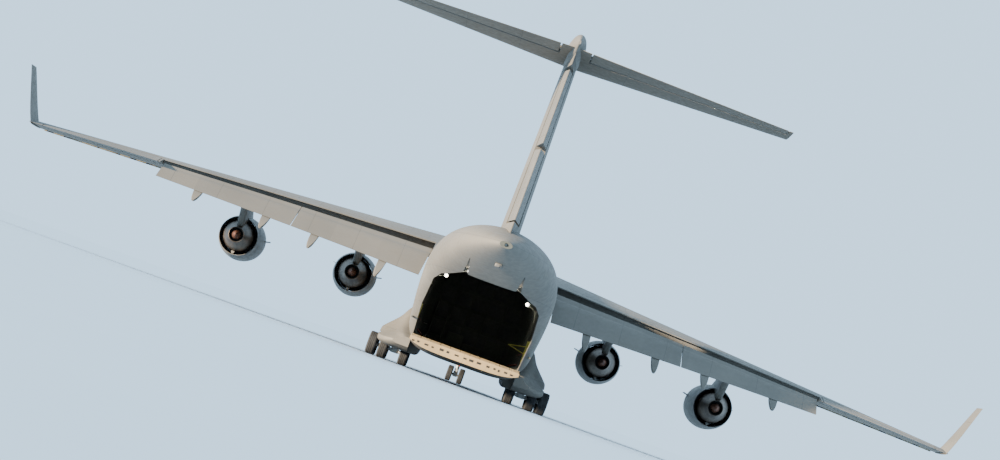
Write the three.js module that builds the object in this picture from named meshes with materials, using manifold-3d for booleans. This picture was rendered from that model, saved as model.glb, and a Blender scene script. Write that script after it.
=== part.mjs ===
// Military transport plane, four engines, high wing, T-tail, rear loading ramp.
// Sizes below are the real aircraft's, in millimetres; the root group scales them
// to the 1:2 model. +Y is the nose, +X the right wing, +Z up, the ground is z = 0.
// A station is the distance behind the tip of the nose.
import * as THREE from 'three';
import { mergeVertices } from 'three/addons/utils/BufferGeometryUtils.js';
import Module from 'manifold-3d';

const wasm = await Module();
wasm.setup();

// Driving dimensions
const MODEL_SCALE = 0.5;
const LENGTH = 53040;
const HALF_SPAN = 25150;
const GAP = 0.6;
const CLEAR = 14;
const WALL = 200;
const FAR = 60000;
// Faces closer than this to one plane are merged
const EVEN = 0.12;

// Cargo hold and ramp
const FLOOR_TOP = 1630;
const FLOOR_FRONT = 8150;
const RAMP_HINGE = { station: 29500, z: 1390 };
const RAMP_HALF = 2900;
const RAMP_THICK = 240;
const RAMP_REACH = 6250;
const RAMP_SLOPE = 16.55;
const RAMP_LOWERED = 16.4;
const DOOR_HINGE = { station: 45100, z: 6180 };
const DOOR_RAISED = 15;
const DOOR_THICK = 260;
const DOOR_TUBE = 90;
// The door's front corners keep this far from the opening, to rise inside the hull
const DOOR_SHOULDER = 75;
const EAR_TIP = 44300;

// Colours read from the photograph
const PAINT = { color: 0x8f8c84, roughness: 0.75, metalness: 0.05 };
const PAINT_DARK = { color: 0x77756f, roughness: 0.8, metalness: 0.05 };
const CREAM = { color: 0xb0a488, roughness: 0.85, metalness: 0.0 };
const METAL = { color: 0x6a6156, roughness: 0.45, metalness: 0.8 };
const FAN_METAL = { color: 0x3c3b3a, roughness: 0.4, metalness: 0.7 };
const STEEL = { color: 0xc9cac8, roughness: 0.5, metalness: 0.5 };
const RUBBER = { color: 0x1f1f1f, roughness: 0.95, metalness: 0.0 };
const GLASS = { color: 0x20282c, roughness: 0.1, metalness: 0.0 };
const DARK = { color: 0x3a3b3a, roughness: 0.9, metalness: 0.0 };

const SIDES = [
  { side: 'left', sign: -1 },
  { side: 'right', sign: 1 },
];

const aircraft = new THREE.Group();
aircraft.scale.setScalar(MODEL_SCALE);

const yAt = (station) => LENGTH / 2 - station;
const at = (x, station, z) => new THREE.Vector3(x, yAt(station), z);
const degrees = THREE.MathUtils.degToRad;
const lerp = THREE.MathUtils.lerp;
const AXIS_X = new THREE.Vector3(1, 0, 0);
const AXIS_Y = new THREE.Vector3(0, 1, 0);
const AXIS_Z = new THREE.Vector3(0, 0, 1);

// Solids: a closed three.js geometry becomes a manifold, and back
function asSolid(geometry) {
  const plain = geometry.clone();
  plain.deleteAttribute('normal');
  plain.deleteAttribute('uv');
  const merged = mergeVertices(plain, 1e-2);
  const points = merged.attributes.position.array;
  const faces = Array.from(merged.index.array);
  const kept = [];
  for (let i = 0; i < faces.length; i += 3) {
    const [a, b, c] = [faces[i], faces[i + 1], faces[i + 2]];
    if (a !== b && b !== c && c !== a) kept.push(a, b, c);
  }
  if (signedVolume(points, kept) < 0) {
    for (let i = 0; i < kept.length; i += 3) [kept[i], kept[i + 1]] = [kept[i + 1], kept[i]];
  }
  const mesh = new wasm.Mesh({
    numProp: 3,
    vertProperties: new Float32Array(points),
    triVerts: new Uint32Array(kept),
  });
  return new wasm.Manifold(mesh);
}

function signedVolume(points, faces) {
  let total = 0;
  for (let i = 0; i < faces.length; i += 3) {
    const [a, b, c] = [0, 1, 2].map((k) => new THREE.Vector3().fromArray(points, 3 * faces[i + k]));
    total += a.dot(b.cross(c)) / 6;
  }
  return total;
}

function asGeometry(solid) {
  const mesh = solid.getMesh();
  const geometry = new THREE.BufferGeometry();
  const position = new Float32Array(3 * mesh.numVert);
  for (let i = 0; i < mesh.numVert; i += 1) {
    for (let k = 0; k < 3; k += 1) position[3 * i + k] = mesh.vertProperties[mesh.numProp * i + k];
  }
  geometry.setAttribute('position', new THREE.BufferAttribute(position, 3));
  geometry.setIndex(new THREE.BufferAttribute(new Uint32Array(mesh.triVerts), 1));
  const flat = geometry.toNonIndexed();
  flat.computeVertexNormals();
  return flat;
}

// Shapes
function loft(rings) {
  const count = rings[0].length;
  const position = rings.flat().flatMap((p) => p.toArray());
  const faces = [];
  for (let r = 0; r + 1 < rings.length; r += 1) {
    for (let i = 0; i < count; i += 1) {
      const a = r * count + i;
      const b = r * count + ((i + 1) % count);
      faces.push(a, b, b + count, a, b + count, a + count);
    }
  }
  const last = (rings.length - 1) * count;
  for (const [a, b, c] of capFaces(rings[0])) faces.push(c, b, a);
  for (const [a, b, c] of capFaces(rings[rings.length - 1])) faces.push(last + a, last + b, last + c);
  const geometry = new THREE.BufferGeometry();
  geometry.setAttribute('position', new THREE.Float32BufferAttribute(position, 3));
  geometry.setIndex(faces);
  return asSolid(geometry);
}

function capFaces(ring) {
  const normal = new THREE.Vector3();
  ring.forEach((p, i) => {
    const q = ring[(i + 1) % ring.length];
    normal.x += (p.y - q.y) * (p.z + q.z);
    normal.y += (p.z - q.z) * (p.x + q.x);
    normal.z += (p.x - q.x) * (p.y + q.y);
  });
  normal.normalize();
  const across = Math.abs(normal.z) > 0.9 ? AXIS_X.clone() : AXIS_Z.clone().cross(normal).normalize();
  const up = normal.clone().cross(across);
  const flat = ring.map((p) => new THREE.Vector2(p.dot(across), p.dot(up)));
  return THREE.ShapeUtils.triangulateShape(flat, []);
}

function block(x0, x1, station0, station1, z0, z1) {
  const box = new THREE.BoxGeometry(x1 - x0, station1 - station0, z1 - z0);
  box.translate((x0 + x1) / 2, yAt((station0 + station1) / 2), (z0 + z1) / 2);
  return asSolid(box);
}

// Pins that stand out of both ends of a control surface, on its hinge line
const END_PIN = 30;

function endPins(ends, reach, radius, sides) {
  const along = ends[1].clone().sub(ends[0]).normalize();
  return ends.map((end, i) => {
    const way = along.clone().multiplyScalar(i === 0 ? -1 : 1);
    return rod(end.clone().addScaledVector(way, -40), end.clone().addScaledVector(way, reach), radius, sides);
  });
}

const pinsOf = (ends, reach) => endPins(ends, reach, END_PIN, 8);
const boresOf = (ends, reach) => endPins(ends, reach + 10, boreRadius(END_PIN, 16), 16);

// A block given for the right side, on the side of sign
function mirrored(sign, x0, x1, ...rest) {
  const [a, b] = sign > 0 ? [x0, x1] : [-x1, -x0];
  return block(a, b, ...rest);
}

// An outline in (X, station), raised from z0 to z1
function planPrism(outline, z0, z1) {
  return loft([z0, z1].map((z) => outline.map(([x, station]) => at(x, station, z))));
}

// An outline in (station, z), spread from x0 to x1
function sidePrism(outline, x0, x1) {
  return loft([x0, x1].map((x) => outline.map(([station, z]) => at(x, station, z))));
}

function rod(from, to, radius, sides = 24) {
  const along = to.clone().sub(from);
  const geometry = new THREE.CylinderGeometry(radius, radius, along.length(), sides);
  geometry.applyQuaternion(new THREE.Quaternion().setFromUnitVectors(AXIS_Y, along.clone().normalize()));
  const middle = from.clone().add(to).multiplyScalar(0.5);
  geometry.translate(middle.x, middle.y, middle.z);
  return asSolid(geometry);
}

// A bore that its pin can turn in: its flats stay clear of the pin's corners
const boreRadius = (pin, sides) => (pin + GAP) / Math.cos(Math.PI / sides);

function acrossRod(x0, x1, station, z, radius, sides) {
  return rod(at(x0, station, z), at(x1, station, z), radius, sides);
}


function join(...solids) {
  return solids.flat().reduce((sum, solid) => sum.add(solid));
}

function cut(solid, ...tools) {
  return tools.flat().reduce((rest, tool) => rest.subtract(tool), solid);
}

// The largest of a solid's separate bodies
const largest = (solid) => solid.decompose().sort((a, b) => b.volume() - a.volume())[0];

function addMesh(name, solid, finish, parent = aircraft) {
  const mesh = new THREE.Mesh(asGeometry(solid.simplify(EVEN)), new THREE.MeshStandardMaterial(finish));
  mesh.name = name;
  parent.add(mesh);
  return mesh;
}

// A piece that swings on a hinge: its solid is given in the closed position,
// and its pivot group turns it to where the photograph has it.
function addHinged(name, solid, finish, { pivot, axis, rest = 0 }) {
  const hinge = new THREE.Group();
  hinge.position.copy(pivot);
  hinge.quaternion.setFromAxisAngle(axis, degrees(rest));
  hinge.userData = { joint: name, axis: axis.toArray() };
  aircraft.add(hinge);
  addMesh(name, solid.translate([-pivot.x, -pivot.y, -pivot.z]), finish, hinge);
  return hinge;
}

// Fuselage: station, bottom, top, half width, widest height, lower and upper power
const FUSELAGE = [
  [0, 3120, 3380, 130, 3250, 2, 2],
  [250, 2640, 3900, 640, 3270, 2, 2],
  [900, 2180, 4480, 1180, 3330, 2, 2],
  [1900, 1860, 5060, 1700, 3450, 2.1, 2],
  [3300, 1620, 6300, 2350, 3750, 2.2, 2],
  [4700, 1480, 7120, 2850, 4100, 2.4, 2],
  [7000, 1300, 7720, 3250, 4400, 2.8, 2],
  [9500, 1180, 7930, 3430, 4500, 3.6, 2],
  [12500, 1150, 7950, 3430, 4500, 4.5, 2],
  [29500, 1150, 7950, 3430, 4500, 4.6, 2],
  [33000, 2190, 7950, 3430, 4750, 4.5, 2],
  [36500, 3230, 7950, 3390, 5150, 4.3, 2],
  [40000, 4270, 7930, 3150, 5700, 3.8, 2],
  [43000, 5120, 7800, 2650, 6150, 3.2, 2],
  [45500, 5800, 7500, 1900, 6450, 2.6, 2],
  [47500, 6300, 7130, 950, 6650, 2.2, 2],
  [48500, 6560, 6880, 300, 6720, 2, 2],
];
const RING_POINTS = 24;

function fuselageAt(station) {
  const next = Math.max(1, FUSELAGE.findIndex((row) => row[0] >= station));
  const [a, b] = [FUSELAGE[next - 1], FUSELAGE[next]];
  const share = (station - a[0]) / (b[0] - a[0]);
  return a.map((value, k) => lerp(value, b[k], share));
}

function fuselageRing(station, inset) {
  const [, bottom, top, half, widest, lower, upper] = fuselageAt(station);
  return Array.from({ length: RING_POINTS }, (unused, i) => {
    const turn = (2 * Math.PI * i) / RING_POINTS;
    const [c, s] = [Math.cos(turn), Math.sin(turn)];
    const power = s < 0 ? lower : upper;
    const reach = s < 0 ? widest - bottom - inset : top - inset - widest;
    const x = Math.sign(c) * (half - inset) * Math.abs(c) ** (2 / power);
    const z = widest + Math.sign(s) * reach * Math.abs(s) ** (2 / power);
    return at(x, station, z);
  });
}

function fuselageLoft(from, to, inset = 0) {
  const between = FUSELAGE.map((row) => row[0]).filter((station) => station > from && station < to);
  return loft([from, ...between, to].map((station) => fuselageRing(station, inset)));
}

const CAVITY = { front: 1900, back: 45500 };
const outer = fuselageLoft(0, 48500);
const outerGrown = fuselageLoft(0, 48500, -GAP);
const cavity = fuselageLoft(CAVITY.front, CAVITY.back, WALL);
const lining = fuselageLoft(CAVITY.front, CAVITY.back, WALL + GAP);
const slab = (from, to) => block(-FAR, FAR, from, to, -FAR, FAR);

// The opening that the ramp and the cargo door close, half of its plan
const OPENING = [
  [RAMP_HALF + CLEAR, RAMP_HINGE.station],
  [RAMP_HALF + CLEAR, 35800],
  [2710, 40000],
  [2400, 41300],
  [1450, 43000],
  [1345, 45200],
  [1335, 45200],
  [1200, 43000],
];
const bothSides = (half) => [...half, ...half.slice().reverse().map(([x, station]) => [-x, station])];
const openingCut = planPrism(bothSides(OPENING), 0, 6000);
const rampHinge = at(0, RAMP_HINGE.station, RAMP_HINGE.z);
const doorHinge = at(0, DOOR_HINGE.station, DOOR_HINGE.z);
const hingeBarrel = (radius, half) => acrossRod(-half, half, RAMP_HINGE.station, RAMP_HINGE.z, radius, 32);

// Ramp hinge: lugs of the floor stand in slots of the ramp's nose, on its pins
const RAMP_LUGS = [-1900, -700, 700, 1900];
const RAMP_PIN = 60;
const onRampHinge = (x, half, radius, sides) =>
  acrossRod(x - half, x + half, RAMP_HINGE.station, RAMP_HINGE.z, radius, sides);
const rampSlot = (x) => onRampHinge(x, 50, RAMP_THICK + CLEAR, 32);
const rampPin = (x, radius, sides) => onRampHinge(x, 55, radius, sides);

function rampLug(x) {
  const { station, z } = RAMP_HINGE;
  const eye = [[station - 350, z - 30], [station - 350, z + 200], [station, z + 110], [station + 110, z],
    [station, z - 110], [station - 254, z - 30]];
  const skin = cut(outer, lining).intersect(slab(0, station - 245));
  return cut(sidePrism(eye, x - 30, x + 30), skin, rampPin(x, boreRadius(RAMP_PIN, 16), 16));
}

// Loading ramp, made closed: it fills the slope of the belly
function rampSolid() {
  const rise = (run) => RAMP_HINGE.z + run * Math.tan(degrees(RAMP_SLOPE));
  const lift = RAMP_THICK / Math.cos(degrees(RAMP_SLOPE));
  const side = sidePrism([
    [RAMP_HINGE.station, 0],
    [37000, 0],
    [37000, rise(37000 - RAMP_HINGE.station) + lift],
    [RAMP_HINGE.station, rise(0) + lift],
  ], -RAMP_HALF, RAMP_HALF);
  const reach = hingeBarrel(RAMP_REACH, RAMP_HALF + 1);
  const nose = hingeBarrel(RAMP_THICK, RAMP_HALF).intersect(outer);
  const slotted = cut(join(outer.intersect(side).intersect(reach), nose), ...RAMP_LUGS.map(rampSlot));
  return join(slotted, ...RAMP_LUGS.map((x) => rampPin(x, RAMP_PIN, 12)));
}

// Cargo door, made closed: a curved panel aft of the ramp, with two ears that
// reach back to its hinge tube
function cargoDoorSolid() {
  const share = (EAR_TIP - 43000) / (45200 - 43000);
  const inside = [
    ...OPENING.slice(0, 5).map(([x, station]) => [x - (station < 36000 ? DOOR_SHOULDER : CLEAR), station]),
    [lerp(1450, 1345, share) - CLEAR, EAR_TIP],
    [lerp(1200, 1335, share) + CLEAR, EAR_TIP],
    [1200 + CLEAR, 43000 - CLEAR],
  ];
  const below = [
    [29000, 0], [29000, 3450], [35600, 3560], [40000, 4750], [43000, 5560], [45500, 6180], [45500, 0],
  ];
  const plan = planPrism(bothSides(inside), 0, 6000).intersect(sidePrism(below, -FAR, FAR));
  const hollow = fuselageLoft(29000, CAVITY.back, DOOR_THICK);
  const skin = outer.intersect(plan).subtract(hollow).subtract(hingeBarrel(RAMP_REACH + 35, FAR));
  const arm = [
    [42900, 5250], [43700, 5430], [44150, 5930], [45100, 6090], [45100, 6270], [43800, 6150], [42900, 5700],
  ];
  const arms = SIDES.map(({ sign }) => sidePrism(arm, sign * 1270, sign * 1380));
  return join(skin, ...arms, acrossRod(-1500, 1500, DOOR_HINGE.station, DOOR_HINGE.z, DOOR_TUBE));
}

// Openings in the skin: x range outward from the centre, stations, heights
const CREW_DOOR = { from: 8200, to: 9200, low: 1700, high: 3500, hinge: 2640 };
const TROOP_DOOR = { from: 28200, to: 29100, low: 1650, high: 3500 };
const WINDOWS = [
  { x0: 70, x1: 1000, from: 1500, to: 3400, low: 5150, high: 6120 },
  { x0: 1060, x1: 4000, from: 2620, to: 3350, low: 5250, high: 6000 },
  { x0: 1060, x1: 4000, from: 3450, to: 4250, low: 5250, high: 6050 },
];
const NOSE_BAY = { half: 650, from: 5040, to: 7640, top: 1800, liner: 70 };
const BARRELS = [
  { name: 'nose_section', from: 1950, to: 8000 },
  { name: 'forward_fuselage', from: 8000, to: 17500 },
  { name: 'centre_fuselage', from: 17500, to: 29200 },
  { name: 'aft_fuselage', from: 29200, to: 48500 },
];

// A hole through both sides of the skin, or through one; grow is its margin
function hole({ x0 = 2000, x1 = 4000, from, to, low, high }, sign, grow = 0) {
  return mirrored(sign, x0 - grow, x1, from - grow, to + grow, low - grow, high + grow);
}

const windowHoles = (grow) => SIDES.flatMap(({ sign }) => WINDOWS.map((pane) => hole(pane, sign, grow)));

function noseBay(wall) {
  const { half, from, to, top } = NOSE_BAY;
  return block(-half - wall, half + wall, from - wall, to + wall, 0, top + wall);
}

// Crew door hinge: a rod along the sill, held at both ends by lugs of the hull
const CREW_ROD = { radius: 30, z: 1688, lugs: [[8150, 8190], [9210, 9250]] };
const crewRod = (from, to, radius, sides) =>
  rod(at(-CREW_DOOR.hinge, from, CREW_ROD.z), at(-CREW_DOOR.hinge, to, CREW_ROD.z), radius, sides);

function crewSill(solid) {
  const { radius, z, lugs } = CREW_ROD;
  const blocks = lugs.map(([from, to]) => block(-CREW_DOOR.hinge - 60, -2400, from, to, z - 60, z + 60));
  const bores = lugs.map(([from, to]) => crewRod(from - 20, to + 20, boreRadius(radius, 16), 16));
  const room = crewRod(lugs[0][1], lugs[1][0], radius + CLEAR, 12);
  return cut(join(cut(solid, hole(CREW_DOOR, -1), room), ...blocks), ...bores);
}

function addFuselage() {
  addMesh('radome', outer.intersect(slab(-100, 1950 - GAP)), PAINT_DARK);
  const skin = cut(outer, cavity, openingCut);
  const lugs = SIDES.map(({ sign }) => mirrored(sign, 1400, 1480, 44900, 45300, 5600, 6340).intersect(outer));
  const bearing = acrossRod(-1600, 1600, DOOR_HINGE.station, DOOR_HINGE.z, boreRadius(DOOR_TUBE, 24), 24);
  const extras = {
    nose_section: (solid) => {
      const liner = noseBay(NOSE_BAY.liner).intersect(outer);
      return cut(join(solid, liner), noseBay(0), windowHoles(0));
    },
    forward_fuselage: crewSill,
    centre_fuselage: (solid) => cut(solid, hole(TROOP_DOOR, -1), hole(TROOP_DOOR, 1)),
    aft_fuselage: (solid) => {
      const barrel = hingeBarrel(RAMP_THICK + 2 * CLEAR, RAMP_HALF + CLEAR);
      return cut(join(solid, lugs), bearing, barrel);
    },
  };
  for (const { name, from, to } of BARRELS) {
    addMesh(name, extras[name](skin.intersect(slab(from, to - GAP))), PAINT);
  }
  const floor = lining.intersect(block(-FAR, FAR, FLOOR_FRONT, RAMP_HINGE.station, 0, FLOOR_TOP));
  const shortened = cut(floor, hingeBarrel(RAMP_THICK + CLEAR, FAR));
  addMesh('cargo_floor', join(shortened, ...RAMP_LUGS.map(rampLug)), DARK);
}

// Flight deck: floor, back wall, two seats and the instrument panel
function addFlightDeck() {
  const within = (solid) => solid.intersect(fuselageLoft(CAVITY.front, CAVITY.back, WALL + 60 + GAP));
  const walls = lining.intersect(block(-FAR, FAR, 7880, 7999, 0, FAR));
  const floor = lining.intersect(block(-FAR, FAR, 2900, 7900, 4250, 4350));
  const panel = within(block(-1500, 1500, 2900, 3150, 4300, 5050));
  const seats = SIDES.flatMap(({ sign }) => [
    mirrored(sign, 500, 1050, 4000, 4550, 4300, 4800),
    mirrored(sign, 500, 1050, 4550, 4700, 4300, 5500),
  ]);
  addMesh('flight_deck', join(walls, floor, panel, ...seats), DARK);
}

// Windscreen: the panes fill their holes, joined by a band inside the wall
function addGlass() {
  const layer = (from, to) => cut(fuselageLoft(600, 6000, from), fuselageLoft(500, 6100, to));
  const panes = layer(30, WALL + 45).intersect(join(windowHoles(-GAP)));
  const band = layer(WALL + GAP, WALL + 45).intersect(cut(block(-4000, 4000, 1990, 4350, 5070, 6240)));
  addMesh('cockpit_glass', join(panes, band.intersect(cavity)), GLASS);
}

function addDoors() {
  const skin = cut(outer, cavity);
  const crewPivot = at(-CREW_DOOR.hinge, 8700, CREW_ROD.z);
  const crewDoor = skin.intersect(hole(CREW_DOOR, -1, -CLEAR));
  addHinged('crew_door', join(crewDoor, crewRod(8155, 9245, CREW_ROD.radius, 12)), PAINT, {
    pivot: crewPivot,
    axis: AXIS_Y.clone().negate(),
  });
  for (const { side, sign } of SIDES) {
    addMesh(`troop_door_${side}`, skin.intersect(hole(TROOP_DOOR, sign, -GAP)), PAINT);
  }
  addHinged('loading_ramp', rampSolid(), CREAM, { pivot: rampHinge, axis: AXIS_X, rest: RAMP_LOWERED });
  addHinged('cargo_door', cargoDoorSolid(), PAINT, { pivot: doorHinge, axis: AXIS_X, rest: DOOR_RAISED });
}

addFuselage();
addFlightDeck();
addGlass();
addDoors();

// Wing planform and section, the right side; lengths along the chord are fractions
const WING = {
  rootChord: 11200, tipChord: 2800, lead: 16500, sweep: 0.5498, leadZ: 7260, fall: 0.07597,
  rootTwist: 4, tipTwist: 1, rootThick: 0.148, tipThick: 0.105, camber: 0.02,
};
const ROOT_X = 2500;
const RINGS_X = [ROOT_X, 3500, 11015, 18400, HALF_SPAN];
const FRACTIONS = [0, 0.015, 0.06, 0.16, 0.35, 0.58, 0.8, 1];
const TRAILING_HALF = 0.0015;

// Half thickness of the section in chords, for a thickness ratio
function halfThick(f, ratio) {
  const shape = 0.2969 * Math.sqrt(f) - 0.126 * f - 0.3516 * f ** 2 + 0.2843 * f ** 3 - 0.1036 * f ** 4;
  return Math.max(5 * ratio * shape, f > 0.5 ? TRAILING_HALF : 0);
}

const wingShare = (x) => x / HALF_SPAN;
const chordAt = (x) => lerp(WING.rootChord, WING.tipChord, wingShare(x));
const camberAt = (f) => 4 * WING.camber * f * (1 - f);
const wingHalf = (x, f) => halfThick(f, lerp(WING.rootThick, WING.tipThick, wingShare(x)));
const upperAt = (x, f) => camberAt(f) + wingHalf(x, f);
const lowerAt = (x, f) => camberAt(f) - wingHalf(x, f);

// The point at chord fraction f, height h chords, of the section at x; aside moves it sideways
function wingPoint(sign, x, f, h, aside = 0) {
  const chord = chordAt(x);
  const twist = degrees(lerp(WING.rootTwist, WING.tipTwist, wingShare(x)));
  const back = chord * (f * Math.cos(twist) + h * Math.sin(twist));
  const up = chord * (h * Math.cos(twist) - f * Math.sin(twist));
  return at(sign * (x + aside), WING.lead + WING.sweep * x + back, WING.leadZ - WING.fall * x + up);
}

const section = (sign, x, outline) => outline.map(([f, h]) => wingPoint(sign, x, f, h));
const sectionLoft = (sign, xs, outline) => loft(xs.map((x) => section(sign, x, outline(x))));
const plate = (sign, x, aside0, aside1, outline) =>
  loft([aside0, aside1].map((aside) => outline.map(([f, h]) => wingPoint(sign, x, f, h, aside))));

function wingOutline(x) {
  const top = FRACTIONS.map((f) => [f, upperAt(x, f)]);
  const under = FRACTIONS.slice(1).reverse().map((f) => [f, lowerAt(x, f)]);
  return [...top, ...under];
}

const wingBlank = (sign) => sectionLoft(sign, RINGS_X, wingOutline);

// Movable surfaces on the wing: span of the bay and of the surface in it
const FLAPS = [
  { name: 'flap_inboard', bay: [3500, 11010], span: [3810, 10990] },
  { name: 'flap_outboard', bay: [11010, 18350], span: [11034, 18330] },
];
const AILERON = { bay: [18450, 24500], span: [18495, 24455], hinge: 0.75, wall: 0.715 };
const FLAP = { wall: 0.73, nose: 0.75, shelf: 0.8, shelfThick: 0.006, hinge: [0.74, -0.12], rest: 32 };
const FAIRINGS = [
  { flap: 'flap_inboard', x: 5850 },
  { flap: 'flap_inboard', x: 9650 },
  { flap: 'flap_outboard', x: 12350 },
  { flap: 'flap_outboard', x: 16050 },
];
const HINGE_PIN = 40;
// How far a control surface's end pins reach past its ends
const SURFACE_PIN = 110;
const HINGE_EYE = 90;

function flapBay(x) {
  const { wall, shelf, shelfThick } = FLAP;
  return [
    [wall, -0.2],
    [wall, upperAt(x, wall) - shelfThick],
    [shelf, upperAt(x, shelf) - shelfThick],
    [shelf, 0.2],
    [1.1, 0.2],
    [1.1, -0.2],
  ];
}

function flapOutline(x) {
  const up = (f, below = 0) => [f, upperAt(x, f) - below];
  const low = (f, above = 0) => [f, lowerAt(x, f) + above];
  const depth = upperAt(x, FLAP.nose) - lowerAt(x, FLAP.nose);
  return [
    low(FLAP.nose, 0.5 * depth), low(0.757, 0.78 * depth), up(0.775, 0.0105), up(0.8, 0.0095),
    up(0.822, 0.0005), up(0.9), up(1),
    low(1), low(0.9), low(0.8), low(0.77, 0.001), low(0.755, 0.2 * depth),
  ];
}

function aileronBay() {
  return [[AILERON.wall, -0.2], [AILERON.wall, 0.2], [1.1, 0.2], [1.1, -0.2]];
}

function aileronOutline(x) {
  const { hinge } = AILERON;
  const nose = [120, 150, 180, 210, 240].map((turn) => {
    const radius = 0.98 * wingHalf(x, hinge);
    return [hinge + radius * Math.cos(degrees(turn)), camberAt(hinge) + radius * Math.sin(degrees(turn))];
  });
  const top = [1, 0.88, hinge].map((f) => [f, upperAt(x, f)]);
  const under = [hinge, 0.88, 1].map((f) => [f, lowerAt(x, f)]);
  return [...top, ...nose, ...under];
}

// A ring of a canoe fairing: half width, top and bottom at chord fraction f
function canoeRing(sign, x, [f, half, top, bottom]) {
  const knee = lerp(bottom, top, 0.35);
  const right = [[half, top], [half, knee], [0.6 * half, bottom]];
  const left = [[-0.6 * half, bottom], [-half, knee], [-half, top]];
  const corners = [...right, ...left];
  return corners.map(([aside, h]) => wingPoint(sign, x, f, h, aside));
}

// A flap's hinge line is straight between the two ends of the flap
function hingePoint(sign, x) {
  const { span: [inner, tip] } = FLAPS.find(({ bay }) => x <= bay[1]);
  const share = (x - inner) / (tip - inner);
  return wingPoint(sign, inner, ...FLAP.hinge).lerp(wingPoint(sign, tip, ...FLAP.hinge), share);
}

const hingeRod = (sign, x, reach, radius, sides) =>
  rod(hingePoint(sign, x - reach), hingePoint(sign, x + reach), radius, sides);

// The fixed front of a flap fairing, with the two cheeks that hold its hinge pin
function fixedFairing(sign, x) {
  const [hingeF, hingeH] = FLAP.hinge;
  const rings = [
    [0.36, 40, lowerAt(x, 0.36) + 0.01, lowerAt(x, 0.36) - 0.002],
    [0.44, 150, lowerAt(x, 0.44) + 0.01, -0.085],
    [0.56, 205, lowerAt(x, 0.56) + 0.01, -0.128],
    [0.705, 205, lowerAt(x, 0.705) + 0.01, -0.14],
  ];
  const eye = HINGE_EYE / chordAt(x);
  const cheek = [[0.7, hingeH + eye], [hingeF, hingeH + eye], [hingeF + eye, hingeH], [hingeF, hingeH - eye],
    [0.7, hingeH - eye]];
  const cheeks = [-1, 1].map((hand) => plate(sign, x, hand * 120, hand * 160, cheek));
  const canoe = loft(rings.map((ring) => canoeRing(sign, x, ring)));
  return join(canoe, ...cheeks, hingeRod(sign, x, 150, HINGE_PIN, 8));
}

// The rear of the fairing and the hinge arm, which move with the flap
function movingFairing(sign, x) {
  const [hingeF, hingeH] = FLAP.hinge;
  const eye = HINGE_EYE / chordAt(x);
  const rings = [
    [0.795, 200, lowerAt(x, 0.795) + 0.008, -0.1],
    [0.88, 190, lowerAt(x, 0.88) + 0.006, -0.1],
    [1.0, 130, -0.004, -0.075],
    [1.09, 40, -0.03, -0.05],
  ];
  const depth = upperAt(x, FLAP.nose) - lowerAt(x, FLAP.nose);
  const arm = [
    [hingeF - eye, hingeH], [0.756, lowerAt(x, 0.756) + 0.3 * depth], [0.83, lowerAt(x, 0.83) + 0.005],
    [0.8, -0.09], [hingeF, hingeH - eye],
  ];
  return join(
    loft(rings.map((ring) => canoeRing(sign, x, ring))),
    plate(sign, x, -80, 80, arm),
  ).subtract(hingeRod(sign, x, 200, boreRadius(HINGE_PIN, 16), 16));
}

// Winglet: height, x, leading station, chord
const WINGLET = [
  [5230, 25060, 30700, 2380],
  [5650, 25215, 31050, 2200],
  [8050, 25865, 32850, 1250],
];

function winglet(sign) {
  return loft(WINGLET.map(([z, x, lead, chord]) => {
    const side = (hand) => FRACTIONS.slice(1, -1).map((f) => [f, hand * halfThick(f, 0.09)]);
    const ring = [[0, 0], ...side(1), [1, 0], ...side(-1).reverse()];
    return ring.map(([f, h]) => at(sign * (x + chord * h - 20), lead + f * chord, z));
  }));
}

// Slats, drooped ahead of the leading edge: one strip with notches over the pylons
const SLAT = { span: [3900, 24900], breaks: [7550, 14050], droop: 22, forward: 0.07, down: 0.04 };
const SLAT_TRACKS = [4600, 6700, 9000, 12700, 15600, 19500, 23800];

function slatOutline(x) {
  const skin = [[0.03, lowerAt(x, 0.03)], [0.008, lowerAt(x, 0.008)], [0, 0], [0.012, upperAt(x, 0.012)],
    [0.05, upperAt(x, 0.05)], [0.12, upperAt(x, 0.12)]];
  const inside = [[0.118, upperAt(x, 0.118) - 0.004], [0.05, upperAt(x, 0.05) - 0.017], [0.018, 0]];
  const turn = degrees(SLAT.droop);
  return [...skin, ...inside].map(([f, h]) => [
    f * Math.cos(turn) - h * Math.sin(turn) - SLAT.forward,
    h * Math.cos(turn) + f * Math.sin(turn) - SLAT.down,
  ]);
}

function slats(sign, wing) {
  const strip = sectionLoft(sign, [SLAT.span[0], 14000, SLAT.span[1]], slatOutline);
  const notches = SLAT.breaks.map((x) => {
    const lead = wingPoint(sign, x, 0, 0);
    return mirrored(sign, x - 300, x + 300, 10000, 40000, 0, lead.z - 0.03 * chordAt(x));
  });
  const track = [[-0.045, 0.0], [0.02, 0.02], [0.02, -0.008], [-0.04, -0.03]];
  const tracks = SLAT_TRACKS.map((x) => plate(sign, x, -35, 35, track));
  return cut(join(strip, ...tracks), wing, wing.translate([0, GAP, 0]), ...notches);
}

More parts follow.
